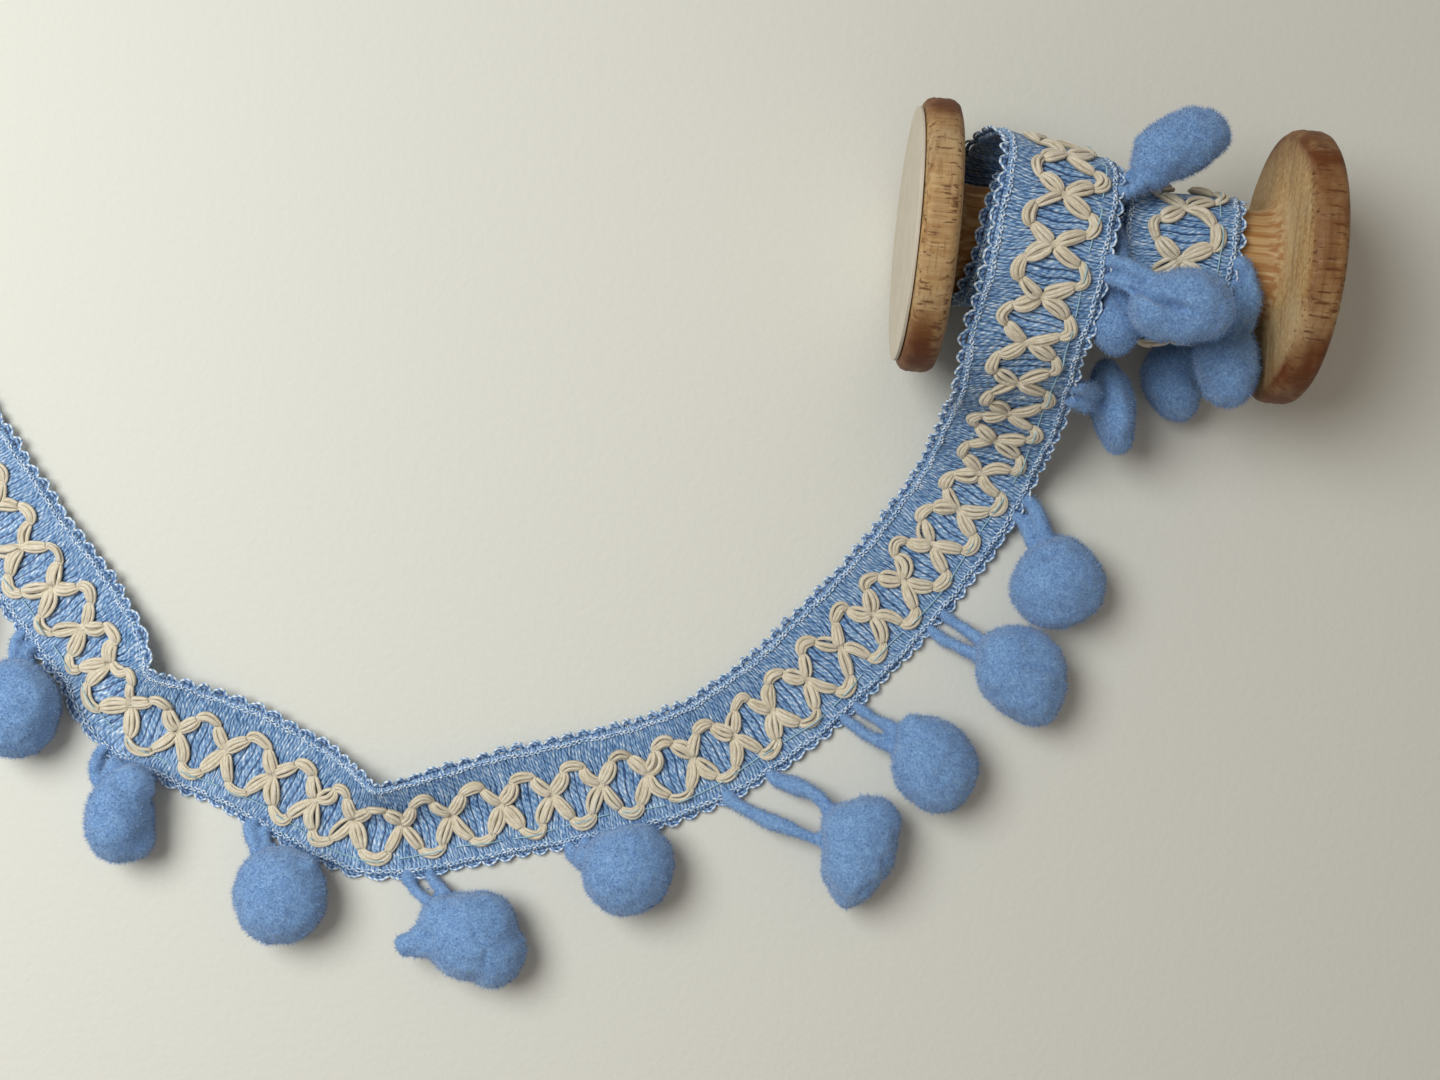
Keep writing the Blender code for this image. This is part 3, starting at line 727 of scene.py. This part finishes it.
def make_braid(height):
    threads = int(STRIP.length / THREAD_PITCH)
    rng = np.random.default_rng(7)
    fat = rng.normal(0.0, 0.28, (threads + 2, 8))
    shove = rng.normal(0.0, 0.05, (threads + 2, 8))

    def place(along, across):
        motif, side, number = braid_surface(along, across)
        number = np.rint(number * 2) / 2
        crest = np.abs(number - np.rint(number)) < 0.25
        thread = np.clip(np.rint(number).astype(int), 0, threads)
        spot = np.clip(across * 6.999, 0, 6.999)
        cell = spot.astype(int)

        def along_thread(table):
            return table[thread, cell] * (1 - spot + cell) + table[thread, cell + 1] * (spot - cell)

        # Between the caps of the yarns the threads lie in pairs, with a deep gap after each pair
        paired = np.clip((YARN_REACH - np.abs(side - YARN_MIDDLE)) / YARN_FADE, 0.0, 1.0)
        open_gap = np.floor(number) % 2 == 1
        depth = np.where(open_gap, 1.9, 0.4) * paired + np.where(open_gap, 1.3, 0.8) * (1 - paired)
        lump = along_thread(fat)
        relief = np.where(crest, 1.0 + lump, 1.0 - depth + 0.5 * lump) * height
        pull = np.where(thread % 2 == 0, 0.07, -0.07) * paired + along_thread(shove)
        motif = motif + np.where(crest, pull, 0.0) / MOTIF_PITCH
        fold = np.array([noise.noise((m * 1.3, s * 0.16, 0.0)) for m, s in zip(motif, side)])
        return STRIP.points(motif, side, CLOTH_THICK / 2 - height / 2 + relief + 0.22 * fold)

    def pattern(along, across):
        _, side, number = braid_surface(along, across)
        return side, number

    mesh = laid_grid(threads * 2, BRAID_COLUMNS, place, pattern)
    # The floats' colours run from dark blue up to whitish painted glints, and the gaps' navy is
    # painted shade
    face = woven_rayon(
        "woven_rayon", ("345684", "5885B8", "82ABD7", "B5D1E9", "F0F5F9"), "233E67"
    )
    # Painted light: light comes through the open weave, so the back gets lighter colours than the
    # front, and is never as dark as a solid one would be
    back = woven_rayon(
        "back_of_woven_rayon_painted_lighter", ("5F93D2", "84B4EA", "A9CFF7", "D2E7FB", "FFFFFF"), "35609C"
    )
    piece = finished("woven_braid", [mesh], face, merge=0)
    piece.data.materials.append(back)
    wall = piece.modifiers.new("thickness", "SOLIDIFY")
    wall.thickness = CLOTH_THICK * MM
    wall.offset = -1.0
    wall.material_offset = 1
    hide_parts("braid")
    return piece


# One petal or cap of a cream yarn. Columns: start and end past its motif, start and end across, how
# far its middle bows outward, and its greatest width and height
UPPER_PETAL = (0.025, 0.3, -0.3, -3.85, 0.0, 2.95, 1.55)
LOWER_PETAL = (0.04, 0.3, 0.65, 5.05, 0.0, 2.95, 1.55)
UPPER_CAP = (0.29, 0.71, -4.25, -4.25, -1.0, 2.4, 1.45)
LOWER_CAP = (0.28, 0.72, 5.45, 5.45, 0.95, 2.3, 1.35)
SAMPLES = 12
PIN_WIDTH = 1.3
PIN_HEIGHT = 0.65
# Plies of the yarn: place across it from -1 to 1, and height in it from 0 to 1
PLIES = ((-1.0, 0.35), (-0.36, 0.95), (0.34, 1.0), (1.0, 0.4), (0.0, 0.1))
PLY_STRAY = (0.1, 0.22, 0.22, 0.1, 0.05)
# Radius of a ply where the yarn is pinned down, and how much it swells between the pins
PLY_THIN = 0.29
PLY_SWELL = 0.15
PLY_SIDES = 7
# The crossings that sit a little past their motif on the top of the outer turn
CROSSING_DRIFT = ((-3, 0.0), (0, 0.25), (1, 0.21), (2, 0.1), (3, 0.04), (4, 0.0))


def yarn_segment(motif, shape, way, rng):
    """Stations along one petal or cap: motif, across, width, height and how far each ply strays. way
    is -1 to run it back."""
    start, end, low, high, bow, width, tall = shape
    part = 0.5 - 0.5 * np.cos(math.pi * np.arange(SAMPLES) / (SAMPLES - 1))
    arch = np.sin(math.pi * part)
    lens = np.sin(math.pi * part ** rng.uniform(0.75, 1.3)).clip(0.0) ** 0.44
    bend = bow + rng.normal(0, 0.28)
    lean = rng.normal(0, 0.04)
    along = start + (end - start) * part + lean * arch
    across = low + (high - low) * part + bend * arch
    width = PIN_WIDTH + (width * rng.uniform(0.78, 1.16) - PIN_WIDTH) * lens
    tall = PIN_HEIGHT + (tall * rng.uniform(0.85, 1.1) - PIN_HEIGHT) * lens
    stray = rng.normal(0, 1, len(PLIES)) * PLY_STRAY * lens[:, None]
    rows = np.column_stack([along, across, width, tall, stray])
    if way < 0:
        rows = rows[::-1]
    drift = np.array(CROSSING_DRIFT).T
    rows[:, 0] += motif
    rows[:, 0] += np.interp(rows[:, 0], *drift)
    return rows


def mirrored(shape):
    """The same petal on the other side of its motif."""
    return (-shape[0], -shape[1], *shape[2:])


def yarn_stations(parity, rng):
    rows = []
    for motif in range(math.floor(STRIP.first), math.ceil(LAST_MOTIF) + 1):
        falling = (motif + parity) % 2 == 0
        before, after = (UPPER_PETAL, LOWER_PETAL) if falling else (LOWER_PETAL, UPPER_PETAL)
        rows.append(yarn_segment(motif, mirrored(before), -1, rng))
        rows.append(yarn_segment(motif, after, 1, rng))
        rows.append(yarn_segment(motif, LOWER_CAP if falling else UPPER_CAP, 1, rng))
    rows = np.concatenate(rows)
    inside = (rows[:, 0] > STRIP.first + 0.05) & (rows[:, 0] < LAST_MOTIF - 0.05)
    return rows[inside]


def make_yarn(name, node, parity, seed, material):
    rng = np.random.default_rng(seed)
    motif, across, width, tall, *strays = yarn_stations(parity, rng).T
    base = CLOTH_THICK / 2 + 0.05 + (0.3 if parity else 0.0) * np.exp(-((across / 1.4) ** 2))
    spine = STRIP.points(motif, across, base)
    _, out = STRIP.frame_at(motif, across)
    ahead = unit(np.gradient(spine, axis=0))
    aside = unit(np.cross(ahead, out))
    up = np.cross(aside, ahead)
    lens = np.clip((width - PIN_WIDTH) / 1.5, 0.0, 1.0)
    thick = PLY_THIN + PLY_SWELL * lens
    meshes = []
    for (place, level), stray in zip(PLIES, strays):
        sideways = place * np.maximum(width / 2 - thick, 0.1) + stray
        lift = thick * 0.8 + level * np.maximum(tall - 2 * thick, 0.0) + 0.4 * stray
        centre = spine + aside * sideways[:, None] + up * lift[:, None]
        meshes.append(laid_tube(centre, aside, up, thick, thick, PLY_SIDES))
    piece = finished(name, meshes, material, merge=1e-7)
    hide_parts(node)
    return piece


def edge_stations(step):
    count = int((STRIP.length - 2.0) / step)
    return STRIP.motif_at(np.linspace(1.0, STRIP.length - 1.0, count))


CHAIN_INSET = 0.75
CHAIN_PITCH = 2.05
CHAIN_RADIUS = 0.17
PICOT_INSET = 0.15
PICOT_RADIUS = 0.24
PICOT_REACH = {-1: 1.45, 1: 1.05}
EDGE_SIDES = 5


def make_edges():
    """The chains along both edges and the loops of rayon that stand out past them."""
    meshes, cores = [], []
    motif = edge_stations(0.26)
    length = np.linspace(0, STRIP.length, len(motif))
    rng = np.random.default_rng(19)
    for side, reach in PICOT_REACH.items():
        wander = 0.12 * np.sin(length * 0.9 + side) + 0.1 * np.sin(length * 0.37)
        for way in (-1, 1):
            turn = length * math.tau / CHAIN_PITCH + 0.5 * np.sin(length * 0.61) + way * math.pi / 2
            across = side * (EDGE - CHAIN_INSET) + 0.33 * np.sin(turn) + wander
            height = CLOTH_THICK / 2 + 0.12 + 0.16 * np.cos(2 * turn) * way
            wide = CHAIN_RADIUS + 0.05 * rng.uniform(-1, 1, len(length))
            meshes.append(path_tube(motif, across, height, wide, CHAIN_RADIUS, EDGE_SIDES))
        loop = np.abs(np.sin(math.pi * PICOTS_PER_MOTIF * motif + 0.4)) ** 0.6
        swell = 1.0 + 0.14 * np.sin(motif * 5.3 + side) + 0.1 * np.sin(motif * 17.0)
        tilt = 0.25 * np.sin(motif * 3.9) + 0.15 * loop
        out = side * (EDGE - PICOT_INSET + reach * swell * loop)
        meshes.append(path_tube(motif, out, tilt + 0.12, PICOT_RADIUS, PICOT_RADIUS, EDGE_SIDES))
        inner = side * (EDGE - PICOT_INSET + 0.5 * reach * swell * loop)
        cores.append(path_tube(motif, inner, tilt * 0.6, 0.38, PICOT_RADIUS, EDGE_SIDES))
    # The first colour of each cord is painted shade between its plies, and the last is a painted glint
    cord = twisted_rayon("plied_rayon_cord", "5C89B9", "9DBEDE", "EBF3F8")
    core = twisted_rayon("navy_rayon_core", "2A4672", "4C72A4", "88ABD2")
    edges = finished("edge_cords_and_picots", meshes, cord)
    hearts = finished("picot_cores", cores, core)
    return [edges, hearts]


STITCH_ACROSS = 6.45
STITCH_LENGTH = 10.4
STITCH_RADIUS = 0.12


def make_stitch():
    """The running stitch near the pompom edge, in fine pale turquoise thread."""
    motif = edge_stations(0.3)
    length = np.linspace(0, STRIP.length, len(motif))
    part = (length / STITCH_LENGTH) % 1.0
    near_cap = np.exp(-(((motif % 1.0 - 0.5) / 0.22) ** 4))
    height = CLOTH_THICK / 2 + 0.28 + 1.1 * near_cap
    height = np.where(part < 0.8, height, CLOTH_THICK / 2 - 0.5)
    across = STITCH_ACROSS + 0.45 * np.sin(motif * 1.9) + 0.2 * np.sin(motif * 0.6)
    thread = plain_thread("turquoise_sewing_thread", "A3CBD6", 0.5)
    mesh = path_tube(motif, across, height, STITCH_RADIUS, STITCH_RADIUS, 4)
    return finished("running_stitch", [mesh], thread)


def felt_cord(points, radius):
    """A felt cord on a smooth line through some points, thin where it lies under the braid."""
    knots = np.linspace(0, 1, len(points))
    part = np.linspace(0, 1, CORD_STATIONS)
    centre = smooth_between(knots, points, part)
    ahead = unit(np.gradient(centre, axis=0))
    aside = unit(np.cross(ahead, np.array((0.0, 0.0, 1.0)) + 1e-6))
    up = np.cross(aside, ahead)
    size = radius * (0.45 + 0.55 * np.clip(part / 0.22, 0.0, 1.0))
    return laid_tube(centre, aside, up, size, size, CORD_SIDES)


def cord_routes(row, number):
    """The two legs of a cord, side by side from under the braid's edge into the ball."""
    centre = np.array((row["x"], row["y"], row["z"]))
    motif = row["motif"]
    edge = STRIP.points([motif], EDGE)[0]
    away = unit(edge - centre)
    near = centre + away * row["width"] * CORD_END
    beside = unit(np.cross(away, (0.0, 0.0, 1.0)))
    pitch = np.linalg.norm(STRIP.points([motif + 0.5], 0.0) - STRIP.points([motif - 0.5], 0.0))
    open_loop = number == OPEN_LOOP
    spread = CORD_SPREAD / pitch * (OPEN_SPREAD if open_loop else 1.0)
    ends = STRIP.points([motif - 0.1, motif + 0.1], EDGE)
    sense = np.sign((ends[1] - ends[0]) @ beside)
    routes = []
    for way in (-1, 1):
        leg = motif + way * spread
        under, stub = STRIP.points([leg, leg], [EDGE - 1.3, EDGE + 0.3 + CORD_STUB], [-0.5, 0.0])
        under[2] = max(under[2], CORD_RADIUS * 0.45)
        stub[2] = max(stub[2], CORD_RADIUS)
        last = near + beside * way * sense * CORD_HALF_GAP
        middle = (stub + last) / 2 + (*SIDE_BOWS.get(number, (0.0, 0.0)), row["bow"])
        middle += beside * way * sense * (OPEN_BOW if open_loop else 0.1)
        routes.append((under, stub, middle, last))
    return routes


def ball_mesh(row):
    bm = bmesh.new()
    bmesh.ops.create_uvsphere(bm, u_segments=32, v_segments=20, radius=1.0)
    half = Vector((row["length"], row["width"], row["height"])) / 2
    for vert in bm.verts:
        thin = 1 - row["point"] * max(vert.co.x, 0.0) ** 2
        vert.co = Vector((vert.co.x * half.x, vert.co.y * half.y * thin, vert.co.z * half.z))
    heading = Matrix.Rotation(math.radians(row["heading"]), 4, "Z")
    place = Matrix.Translation(Vector((row["x"], row["y"], row["z"])) + Vector(SHIFT))
    bmesh.ops.transform(bm, matrix=Matrix.Scale(MM, 4) @ place @ heading, verts=bm.verts)
    return bm


def fused_felt(name, bm, voxel):
    """Fuses overlapping forms into one skin of felt, evenly meshed."""
    mesh = mesh_of(bm, name)
    helper = linked(name, mesh)
    remesh = helper.modifiers.new("fuse", "REMESH")
    remesh.mode = "VOXEL"
    remesh.voxel_size = voxel * MM
    graph = bpy.context.evaluated_depsgraph_get()
    fused = bpy.data.meshes.new_from_object(helper.evaluated_get(graph))
    bpy.data.objects.remove(helper, do_unlink=True)
    bpy.data.meshes.remove(mesh)
    return fused


def shape_felt(mesh, number, centre, reach):
    """Softens the joints, swells slow lumps, presses the creases and flattens the foot."""
    bm = bmesh.new()
    bm.from_mesh(mesh)
    middle = Vector(to_row(centre))
    ball = [vert for vert in bm.verts if (vert.co - middle).length < reach * MM]
    for chosen in [bm.verts] * 2 + [ball] * 10:
        bmesh.ops.smooth_vert(
            bm, verts=chosen, factor=0.5, use_axis_x=True, use_axis_y=True, use_axis_z=True
        )
    bm.normal_update()
    creases = [row for row in CREASES if row[0] == number]
    shift = Vector(SHIFT)
    moves = []
    for vert in bm.verts:
        place = vert.co / MM - shift
        swell = 0.7 * noise.noise(place * 0.15 + Vector((number * 3.1, 0, 0)))
        swell += 0.3 * noise.noise(place * 0.38 + Vector((0, 0, number * 2.3)))
        swell += 0.1 * noise.noise(place * 1.1 + Vector((0, number * 1.7, 0)))
        for _, x0, y0, x1, y1, depth, width in creases:
            if vert.normal.z > 0:
                run = Vector((x1 - x0, y1 - y0))
                at = Vector((place.x - x0, place.y - y0))
                part = min(max(at.dot(run) / run.length_squared, 0.0), 1.0)
                bend = 0.35 * math.sin(part * 5.0 + number)
                far = (at - run * part - Vector((-run.y, run.x)).normalized() * bend).length
                fade = 1 - 0.7 * (2 * part - 1) ** 4
                swell -= depth * fade * math.exp(-((far / width) ** 2)) * vert.normal.z
        moves.append(vert.normal * swell * MM)
    for vert, move in zip(bm.verts, moves):
        vert.co += move
        vert.co.z = max(vert.co.z, 0.0)
    bm.to_mesh(mesh)
    bm.free()
    return mesh


def make_pompoms(voxel, material):
    pieces = []
    for number, values in enumerate(POMPOMS, 1):
        row = dict(zip(POMPOM_COLUMNS, values))
        bm = ball_mesh(row)
        radius_of_cord = OPEN_RADIUS if number == OPEN_LOOP else CORD_RADIUS
        for route in cord_routes(row, number):
            cord = felt_cord(np.array(route), radius_of_cord)
            bm.from_mesh(cord)
            bpy.data.meshes.remove(cord)
        for of, x, y, z, radius in LUMPS:
            if of == number:
                place = Matrix.Translation(Vector(to_row((x, y, z))))
                bmesh.ops.create_uvsphere(
                    bm, u_segments=16, v_segments=10, radius=radius * MM, matrix=place
                )
        bmesh.ops.remove_doubles(bm, verts=bm.verts, dist=1e-7)
        bmesh.ops.recalc_face_normals(bm, faces=bm.faces)
        name = f"felt_pompom_{number:02d}"
        centre = (row["x"], row["y"], row["z"])
        mesh = shape_felt(fused_felt(name, bm, voxel), number, centre, row["length"] / 2 + 0.6)
        piece = finished(name, [mesh], material, merge=0)
        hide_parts(f"pompom_{number:02d}")
        pieces.append(piece)
    return pieces


HAIR_HALF_WIDTH = 0.05
HAIR_ROOT = 0.1
HAIR_CLEARANCE = 0.02


def make_fuzz(pompoms, hairs, length, material):
    """Loose fibres on the felt, each one thin leaf with its root in the surface."""
    rng = np.random.default_rng(11)
    corners = []
    for pompom in pompoms:
        mesh = pompom.data
        mesh.calc_loop_triangles()
        points = np.empty(len(mesh.vertices) * 3, np.float32)
        mesh.vertices.foreach_get("co", points)
        points = points.reshape(-1, 3).astype(float)
        triangles = np.empty(len(mesh.loop_triangles) * 3, np.int32)
        mesh.loop_triangles.foreach_get("vertices", triangles)
        a, b, c = points[triangles.reshape(-1, 3)].transpose(1, 0, 2)
        face = np.cross(b - a, c - a)
        area = np.linalg.norm(face, axis=1)
        face = unit(face + 1e-15)
        picked = rng.choice(len(area), hairs, p=area / area.sum())
        share = rng.dirichlet((1.0, 1.0, 1.0), hairs)
        root = (
            a[picked] * share[:, :1] + b[picked] * share[:, 1:2] + c[picked] * share[:, 2:]
        )
        lean = unit(face[picked] + rng.normal(0, 0.7, (hairs, 3)))
        flat = unit(np.cross(lean, rng.normal(0, 1, (hairs, 3)))) * HAIR_HALF_WIDTH * MM
        tip = root + lean * (length * MM * rng.uniform(0.35, 1.0, (hairs, 1)))
        tip[:, 2] = np.maximum(tip[:, 2], HAIR_CLEARANCE * MM)
        root = root - face[picked] * HAIR_ROOT * MM
        corners.append(np.stack([root - flat, root + flat, tip], axis=1).reshape(-1, 3))
    corners = np.concatenate(corners)
    mesh = bpy.data.meshes.new("felt_fuzz")
    mesh.from_pydata(corners.tolist(), [], np.arange(len(corners)).reshape(-1, 3).tolist())
    mesh.materials.append(material)
    piece = linked("felt_fuzz", mesh)
    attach(piece, BODY)
    return piece


def lay_down(offset):
    """Turns a piece drawn round the Z axis onto the spool's axis, offset along it."""
    along, _ = spool_directions()
    place = np.array((*SPOOL_MIDDLE, AXIS_HEIGHT)) + along * offset
    heading = Matrix.Rotation(SPOOL_TURN, 4, "Z")
    down = Matrix.Rotation(math.pi / 2, 4, "Y")
    return Matrix.Translation(Vector(to_row(place))) @ heading @ down @ Matrix.Scale(MM, 4)


def make_spool(steps):
    profile = list(RIM_PROFILE) + [(r, -h) for r, h in reversed(RIM_PROFILE)]
    bm = bmesh.new()
    points = [bm.verts.new((radius, 0.0, height)) for radius, height in profile]
    edges = [bm.edges.new(pair) for pair in zip(points, points[1:])]
    bmesh.ops.spin(
        bm,
        geom=points + edges,
        cent=(0, 0, 0),
        axis=(0, 0, 1),
        angle=math.tau,
        steps=steps,
        use_merge=True,
    )
    bmesh.ops.remove_doubles(bm, verts=bm.verts, dist=1e-4)
    bmesh.ops.recalc_face_normals(bm, faces=bm.faces)
    bmesh.ops.transform(bm, matrix=lay_down(0.0), verts=bm.verts)
    mesh = mesh_of(bm, "turned")
    piece = finished("turned_spool", [mesh], turned_beech(), merge=0)
    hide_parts("spool")
    return piece


def make_paper():
    bm = bmesh.new()
    bmesh.ops.create_cone(
        bm,
        cap_ends=True,
        segments=96,
        radius1=PAPER_RADIUS,
        radius2=PAPER_RADIUS,
        depth=PAPER_THICK,
    )
    # A rim edge borders a cap, which has more than four corners
    rims = [edge for edge in bm.edges if max(len(face.verts) for face in edge.link_faces) > 4]
    bmesh.ops.bevel(
        bm,
        geom=rims,
        offset=0.1,
        offset_type="OFFSET",
        affect="EDGES",
        segments=1,
        profile=0.5,
        material=-1,
    )
    bmesh.ops.transform(bm, matrix=lay_down(-PAPER_OFFSET), verts=bm.verts)
    mesh = mesh_of(bm, "disc")
    piece = finished("blank_paper_disc", [mesh], matt_paper(), merge=0)
    piece.data.shade_flat()
    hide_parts("paper_disc")
    return piece


# Stage

CAMERA_HEIGHT = 350.0
LENS = 46.65
SENSOR = 36.0
FLOOR_HALF = 20.0
FLOOR_HEIGHT = -0.0001
# The window's light comes from the upper left, so the shadows fall to the lower right. In metres
WINDOW_PLACE = (-0.33, 0.17, 0.6)
WINDOW_TARGET = (-0.33, -0.05, 0.0)
WINDOW_SIZE = 0.48
WINDOW_COLOUR = (0.98, 1.0, 1.0)
ROOM_COLOUR = (1.0, 0.89, 0.81, 1.0)


def pale_floor(colour):
    """Painted board, pale and matt, with the faint tooth of its paint."""
    material, tree, shader = new_material("painted_board", 0.7, Specular_IOR_Level=0.3)
    tooth = clouds(tree, object_place(tree), 700.0, 4.0, 0.6)
    coat(tree, shader, tooth, 0.22, depth=0.0005)
    shader.inputs["Base Color"].default_value = (*colour, 1.0)
    return material


def add_light(name, place, target, size, power, colour):
    light = bpy.data.lights.new(name, "AREA")
    light.shape = "DISK"
    light.size = size
    light.spread = math.radians(140)
    light.energy = power
    light.color = colour
    thing = linked(name, light)
    thing.location = place
    thing.rotation_euler = (Vector(target) - Vector(place)).to_track_quat("-Z", "Y").to_euler()
    return thing


def make_stage(floor_colour, key_power, sky_strength):
    bm = bmesh.new()
    below = Matrix.Translation((0.0, 0.0, FLOOR_HEIGHT))
    bmesh.ops.create_grid(bm, x_segments=1, y_segments=1, size=FLOOR_HALF, matrix=below)
    mesh = mesh_of(bm, "floor")
    mesh.materials.append(pale_floor(floor_colour))
    floor = linked("floor", mesh)
    add_light("window", WINDOW_PLACE, WINDOW_TARGET, WINDOW_SIZE, key_power, WINDOW_COLOUR)
    scene = bpy.context.scene
    world = bpy.data.worlds.new("soft_room")
    world.use_nodes = True
    sky = world.node_tree.nodes["Background"]
    sky.inputs["Color"].default_value = ROOM_COLOUR
    sky.inputs["Strength"].default_value = sky_strength
    scene.world = world
    scene.view_settings.view_transform = "Standard"
    lens = bpy.data.cameras.new("camera")
    lens.sensor_width = SENSOR
    lens.lens = LENS
    lens.clip_start = 0.01
    camera = linked("camera", lens)
    camera.location = to_row((0.0, 0.0, CAMERA_HEIGHT))
    scene.camera = camera


# Settings, operators and panel


class TrimSettings(bpy.types.PropertyGroup):
    weft_relief: bpy.props.FloatProperty(
        name="Weft relief",
        description="How far a weft thread stands above the gap beside it",
        default=0.21 * MM,
        min=0.0,
        max=0.4 * MM,
        unit="LENGTH",
    )
    felt_voxel: bpy.props.FloatProperty(
        name="Felt mesh",
        description="Size of the felt's mesh cells",
        default=0.42 * MM,
        min=0.3 * MM,
        max=1.5 * MM,
        unit="LENGTH",
    )
    fuzz_hairs: bpy.props.IntProperty(
        name="Fibres on a pompom",
        description="How many loose fibres stand on each pompom",
        default=8200,
        min=0,
        max=9000,
    )
    fuzz_length: bpy.props.FloatProperty(
        name="Fibre length",
        description="Length of the longest loose fibres",
        default=1.1 * MM,
        min=0.1 * MM,
        max=3.0 * MM,
        unit="LENGTH",
    )
    spool_steps: bpy.props.IntProperty(
        name="Spool facets",
        description="Facets round the turned spool",
        default=144,
        min=24,
        max=256,
    )


class StageSettings(bpy.types.PropertyGroup):
    floor_colour: bpy.props.FloatVectorProperty(
        name="Floor colour",
        description="Colour of the painted board under the trim",
        subtype="COLOR",
        size=3,
        min=0.0,
        max=1.0,
        default=(0.70, 0.70, 0.63),
    )
    key_power: bpy.props.FloatProperty(
        name="Window light",
        description="Power of the soft light from the upper left",
        default=3.2,
        min=0.0,
        unit="POWER",
    )
    sky_strength: bpy.props.FloatProperty(
        name="Room light",
        description="Strength of the even light of the room",
        default=0.28,
        min=0.0,
    )


class TRIM_OT_spool(bpy.types.Operator):
    """Turns the wooden spool and fits its blank paper disc"""

    bl_idname = "trim.spool"
    bl_label = "Spool and paper disc"

    def execute(self, context):
        make_spool(context.scene.trim_settings.spool_steps)
        make_paper()
        return {"FINISHED"}


class TRIM_OT_braid(bpy.types.Operator):
    """Weaves the braid with its yarns, edge cords, picots and running stitch"""

    bl_idname = "trim.braid"
    bl_label = "Braid and yarns"

    def execute(self, context):
        braid = make_braid(context.scene.trim_settings.weft_relief / MM)
        cotton = cotton_yarn()
        trims = [
            make_yarn("cream_yarn_lower", "cream_yarn_under", 0, 3, cotton),
            make_yarn("cream_yarn_upper", "cream_yarn_over", 1, 5, cotton),
            *make_edges(),
            make_stitch(),
        ]
        return {"FINISHED"}


class TRIM_OT_pompoms(bpy.types.Operator):
    """Rolls the felt pompoms with their cords and loose fibres"""

    bl_idname = "trim.pompoms"
    bl_label = "Felt pompoms"

    def execute(self, context):
        settings = context.scene.trim_settings
        felt = wool_felt()
        pompoms = make_pompoms(settings.felt_voxel / MM, felt)
        make_fuzz(pompoms, settings.fuzz_hairs, settings.fuzz_length / MM, felt)
        return {"FINISHED"}


class TRIM_OT_stage(bpy.types.Operator):
    """Sets the pale floor, the soft light and the camera above"""

    bl_idname = "trim.stage"
    bl_label = "Floor, light and camera"

    def execute(self, context):
        stage = context.scene.trim_stage
        make_stage(tuple(stage.floor_colour), stage.key_power, stage.sky_strength)
        return {"FINISHED"}


class TRIM_PT_panel(bpy.types.Panel):
    bl_label = "Pompom fringe trim"
    bl_space_type = "VIEW_3D"
    bl_region_type = "UI"
    bl_category = "Trim"

    def draw(self, context):
        layout = self.layout
        for settings in (context.scene.trim_settings, context.scene.trim_stage):
            for name in settings.__annotations__:
                layout.prop(settings, name)
        for operator in OPERATORS:
            layout.operator(operator.bl_idname)


SETTINGS = (TrimSettings, StageSettings)
OPERATORS = (TRIM_OT_stage, TRIM_OT_spool, TRIM_OT_braid, TRIM_OT_pompoms)


def register():
    for item in (*SETTINGS, *OPERATORS, TRIM_PT_panel):
        bpy.utils.register_class(item)
    bpy.types.Scene.trim_settings = bpy.props.PointerProperty(type=TrimSettings)
    bpy.types.Scene.trim_stage = bpy.props.PointerProperty(type=StageSettings)


def unregister():
    del bpy.types.Scene.trim_settings
    del bpy.types.Scene.trim_stage
    for item in reversed((*SETTINGS, *OPERATORS, TRIM_PT_panel)):
        bpy.utils.unregister_class(item)


def main():
    register()
    bpy.ops.trim.stage()
    bpy.ops.trim.spool()
    bpy.ops.trim.braid()
    bpy.ops.trim.pompoms()


if __name__ == "__main__":
    main()
